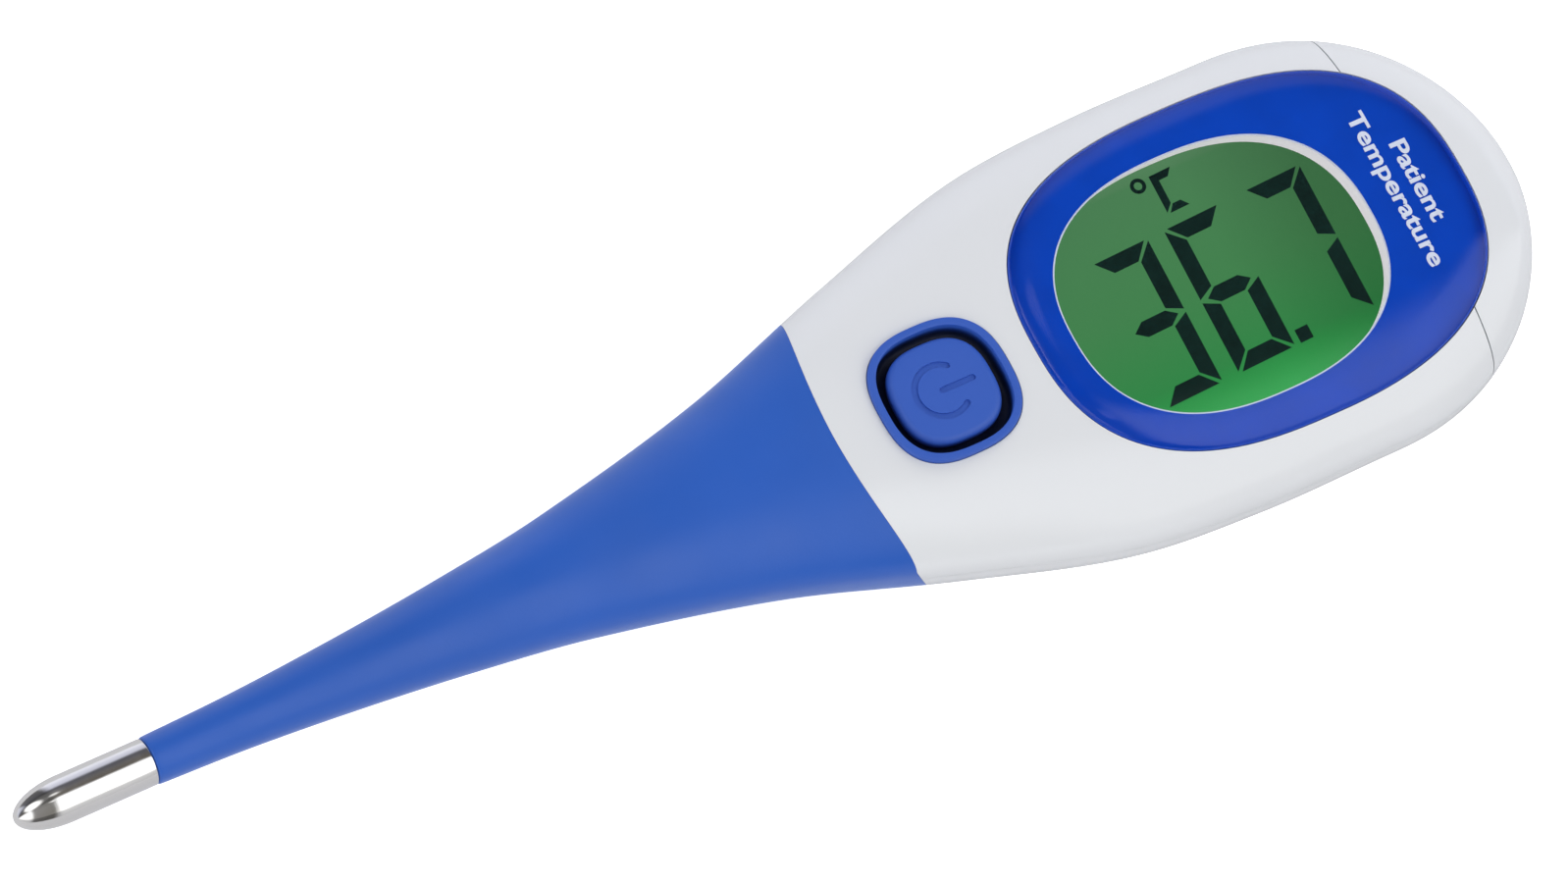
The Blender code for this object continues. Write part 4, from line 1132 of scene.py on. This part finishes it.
CAMERA_AZIMUTH = -48.27
CAMERA_ELEVATION = 65.68
CAMERA_ROLL = 21.88
CAMERA_DISTANCE = 1.137
CAMERA_TARGET = Vector((-0.0383, 0.00309, PARTING_Z))
CAMERA_LENS = 321.2             # mm on a 36 mm sensor
SOFTBOX = 2.0                   # strength of the studio's brightest part
ACROSS = (                      # lean from straight up towards +Y in degrees, and the tint there
    (-88, (0.34, 0.34, 0.35)),
    (-70, (0.38, 0.38, 0.39)),
    (-62, (0.86, 0.86, 0.86)),
    (-20, (0.92, 0.93, 0.95)),
    (-6, (0.80, 0.81, 0.83)),
    (6, (0.075, 0.068, 0.060)),
    (44, (0.060, 0.060, 0.070)),
    (60, (0.37, 0.38, 0.45)),
    (86, (0.50, 0.51, 0.57)),
)
ALONG = (                       # the direction's X part, and the tint there
    (-0.80, (0.80, 0.80, 0.80)),
    (-0.62, (0.80, 0.80, 0.80)),
    (-0.50, (0.16, 0.155, 0.15)),
    (-0.06, (0.14, 0.135, 0.125)),
    (0.10, (1.00, 1.00, 1.00)),
    (0.40, (0.95, 0.95, 0.95)),
    (0.70, (0.85, 0.85, 0.85)),
)
GLINTS = (                      # small bright things: the X part, the lean, half width in degrees, strength
    (-0.50, 20, 22, 1.1),
    (-0.20, 25, 30, 0.06),
    (0.04, 21, 7, 0.4),
    (-0.05, -6, 4, 0.5),
)


def view_axes(azimuth, elevation, roll=0.0):
    """The camera's right, up and backward directions."""
    azimuth, elevation, roll = (math.radians(angle) for angle in (azimuth, elevation, roll))
    back = Vector((math.sin(azimuth) * math.cos(elevation), -math.cos(azimuth) * math.cos(elevation),
                   math.sin(elevation)))
    right = Vector((math.cos(azimuth), math.sin(azimuth), 0))
    up = back.cross(right)
    turned_right = right * math.cos(roll) + up * math.sin(roll)
    turned_up = up * math.cos(roll) - right * math.sin(roll)
    return turned_right, turned_up, back


def look(obj, azimuth, elevation, roll, distance, target):
    right, up, back = view_axes(azimuth, elevation, roll)
    obj.matrix_world = Matrix.Translation(target + back * distance) @ Matrix((right, up, back)).transposed().to_4x4()


def build_camera():
    bpy.context.scene.view_settings.view_transform = "Standard"
    camera = bpy.data.objects.new("camera", bpy.data.cameras.new("camera"))
    bpy.context.scene.collection.objects.link(camera)
    camera.data.lens = CAMERA_LENS
    camera.data.sensor_width = 36.0
    camera.data.clip_start = 0.05
    look(camera, CAMERA_AZIMUTH, CAMERA_ELEVATION, CAMERA_ROLL, CAMERA_DISTANCE, CAMERA_TARGET)
    bpy.context.scene.camera = camera


def area_light(name, azimuth, elevation, distance, size, power, colour=(1, 1, 1)):
    """A soft fill that lights surfaces but isn't mirrored in them."""
    light = bpy.data.lights.new(name, "AREA")
    light.shape = "RECTANGLE"
    light.size, light.size_y = size
    light.energy = power
    light.color = colour
    obj = bpy.data.objects.new(name, light)
    bpy.context.scene.collection.objects.link(obj)
    obj.visible_glossy = False
    look(obj, azimuth, elevation, 0.0, distance, CAMERA_TARGET)


def world_ramp(nodes, links, value, stops, low, high):
    """A colour ramp over value, with its stops given in the value's own units."""
    ramp = nodes.new("ShaderNodeValToRGB")
    ramp.color_ramp.interpolation = "EASE"
    elements = ramp.color_ramp.elements
    while len(elements) < len(stops):
        elements.new(0.5)
    for element, (place, colour) in zip(elements, stops):
        element.position = (place - low) / (high - low)
        element.color = (*colour, 1.0)
    scaled = nodes.new("ShaderNodeMapRange")
    for key, number in (("From Min", low), ("From Max", high), ("To Min", 0.0), ("To Max", 1.0)):
        scaled.inputs[key].default_value = number
    links.new(value, scaled.inputs["Value"])
    links.new(scaled.outputs["Result"], ramp.inputs["Fac"])
    return ramp.outputs["Color"]


def world_glint(nodes, links, direction, x_part, lean, half_width, strength):
    """A soft round spot of light, as a value that falls to nothing half_width from its middle."""
    middle = Vector((x_part, math.sin(math.radians(lean)), math.cos(math.radians(lean))))
    middle.yz = middle.yz * math.sqrt(1 - x_part ** 2)
    nearness = nodes.new("ShaderNodeVectorMath")
    nearness.operation = "DOT_PRODUCT"
    nearness.inputs[1].default_value = middle
    links.new(direction, nearness.inputs[0])
    spot = nodes.new("ShaderNodeMapRange")
    spot.interpolation_type = "SMOOTHSTEP"
    for key, number in (("From Min", math.cos(math.radians(half_width))), ("From Max", 1.0), ("To Max", strength)):
        spot.inputs[key].default_value = number
    links.new(nearness.outputs["Value"], spot.inputs["Value"])
    return spot.outputs["Result"]


def build_world():
    """A softbox overhead on the near side and towards the head, and a dim room beyond the object."""
    world = bpy.data.worlds.new("studio")
    world.use_nodes = True
    nodes, links = world.node_tree.nodes, world.node_tree.links
    split = nodes.new("ShaderNodeSeparateXYZ")
    links.new(nodes.new("ShaderNodeTexCoord").outputs["Generated"], split.inputs["Vector"])
    lean = nodes.new("ShaderNodeMath")
    lean.operation = "ARCTAN2"
    links.new(split.outputs["Y"], lean.inputs[0])
    links.new(split.outputs["Z"], lean.inputs[1])
    degrees = nodes.new("ShaderNodeMath")
    degrees.operation = "DEGREES"
    links.new(lean.outputs["Value"], degrees.inputs[0])
    across = world_ramp(nodes, links, degrees.outputs["Value"], ACROSS, -90, 90)
    along = world_ramp(nodes, links, split.outputs["X"], ALONG, -1, 1)
    product = nodes.new("ShaderNodeMix")
    product.data_type = "RGBA"
    product.blend_type = "MULTIPLY"
    product.inputs["Factor"].default_value = 1.0
    links.new(across, product.inputs["A"])
    links.new(along, product.inputs["B"])
    colour = product.outputs["Result"]
    for glint in GLINTS:
        added = nodes.new("ShaderNodeMix")
        added.data_type = "RGBA"
        added.blend_type = "ADD"
        added.inputs["Factor"].default_value = 1.0
        links.new(colour, added.inputs["A"])
        links.new(world_glint(nodes, links, split.inputs["Vector"].links[0].from_socket, *glint), added.inputs["B"])
        colour = added.outputs["Result"]
    background = nodes["Background"]
    links.new(colour, background.inputs["Color"])
    background.inputs["Strength"].default_value = SOFTBOX
    bpy.context.scene.world = world


def build_stage():
    floor = box("floor", (-1.5, -1.5, -0.01), (1.5, 1.5, -0.0001))
    floor.data.materials.append(floor_white())
    area_light("near_fill", -65, 9, 0.7, (0.9, 0.3), 1.5)
    area_light("far_fill", 150, 30, 0.9, (0.9, 0.6), 3.0, (0.98, 0.98, 1.0))


dress_nodes()
build_front_housing()
build_rear_housing()
build_battery_cap()
build_battery_tray()
build_coin_cell()
build_seal()
build_sleeve()
build_tip()
build_leads()
build_lens()
build_window_wall()
build_print()
build_readout()
build_lettering()
build_button_surround()
build_switch_dome()
build_power_button()
build_camera()
build_world()
build_stage()
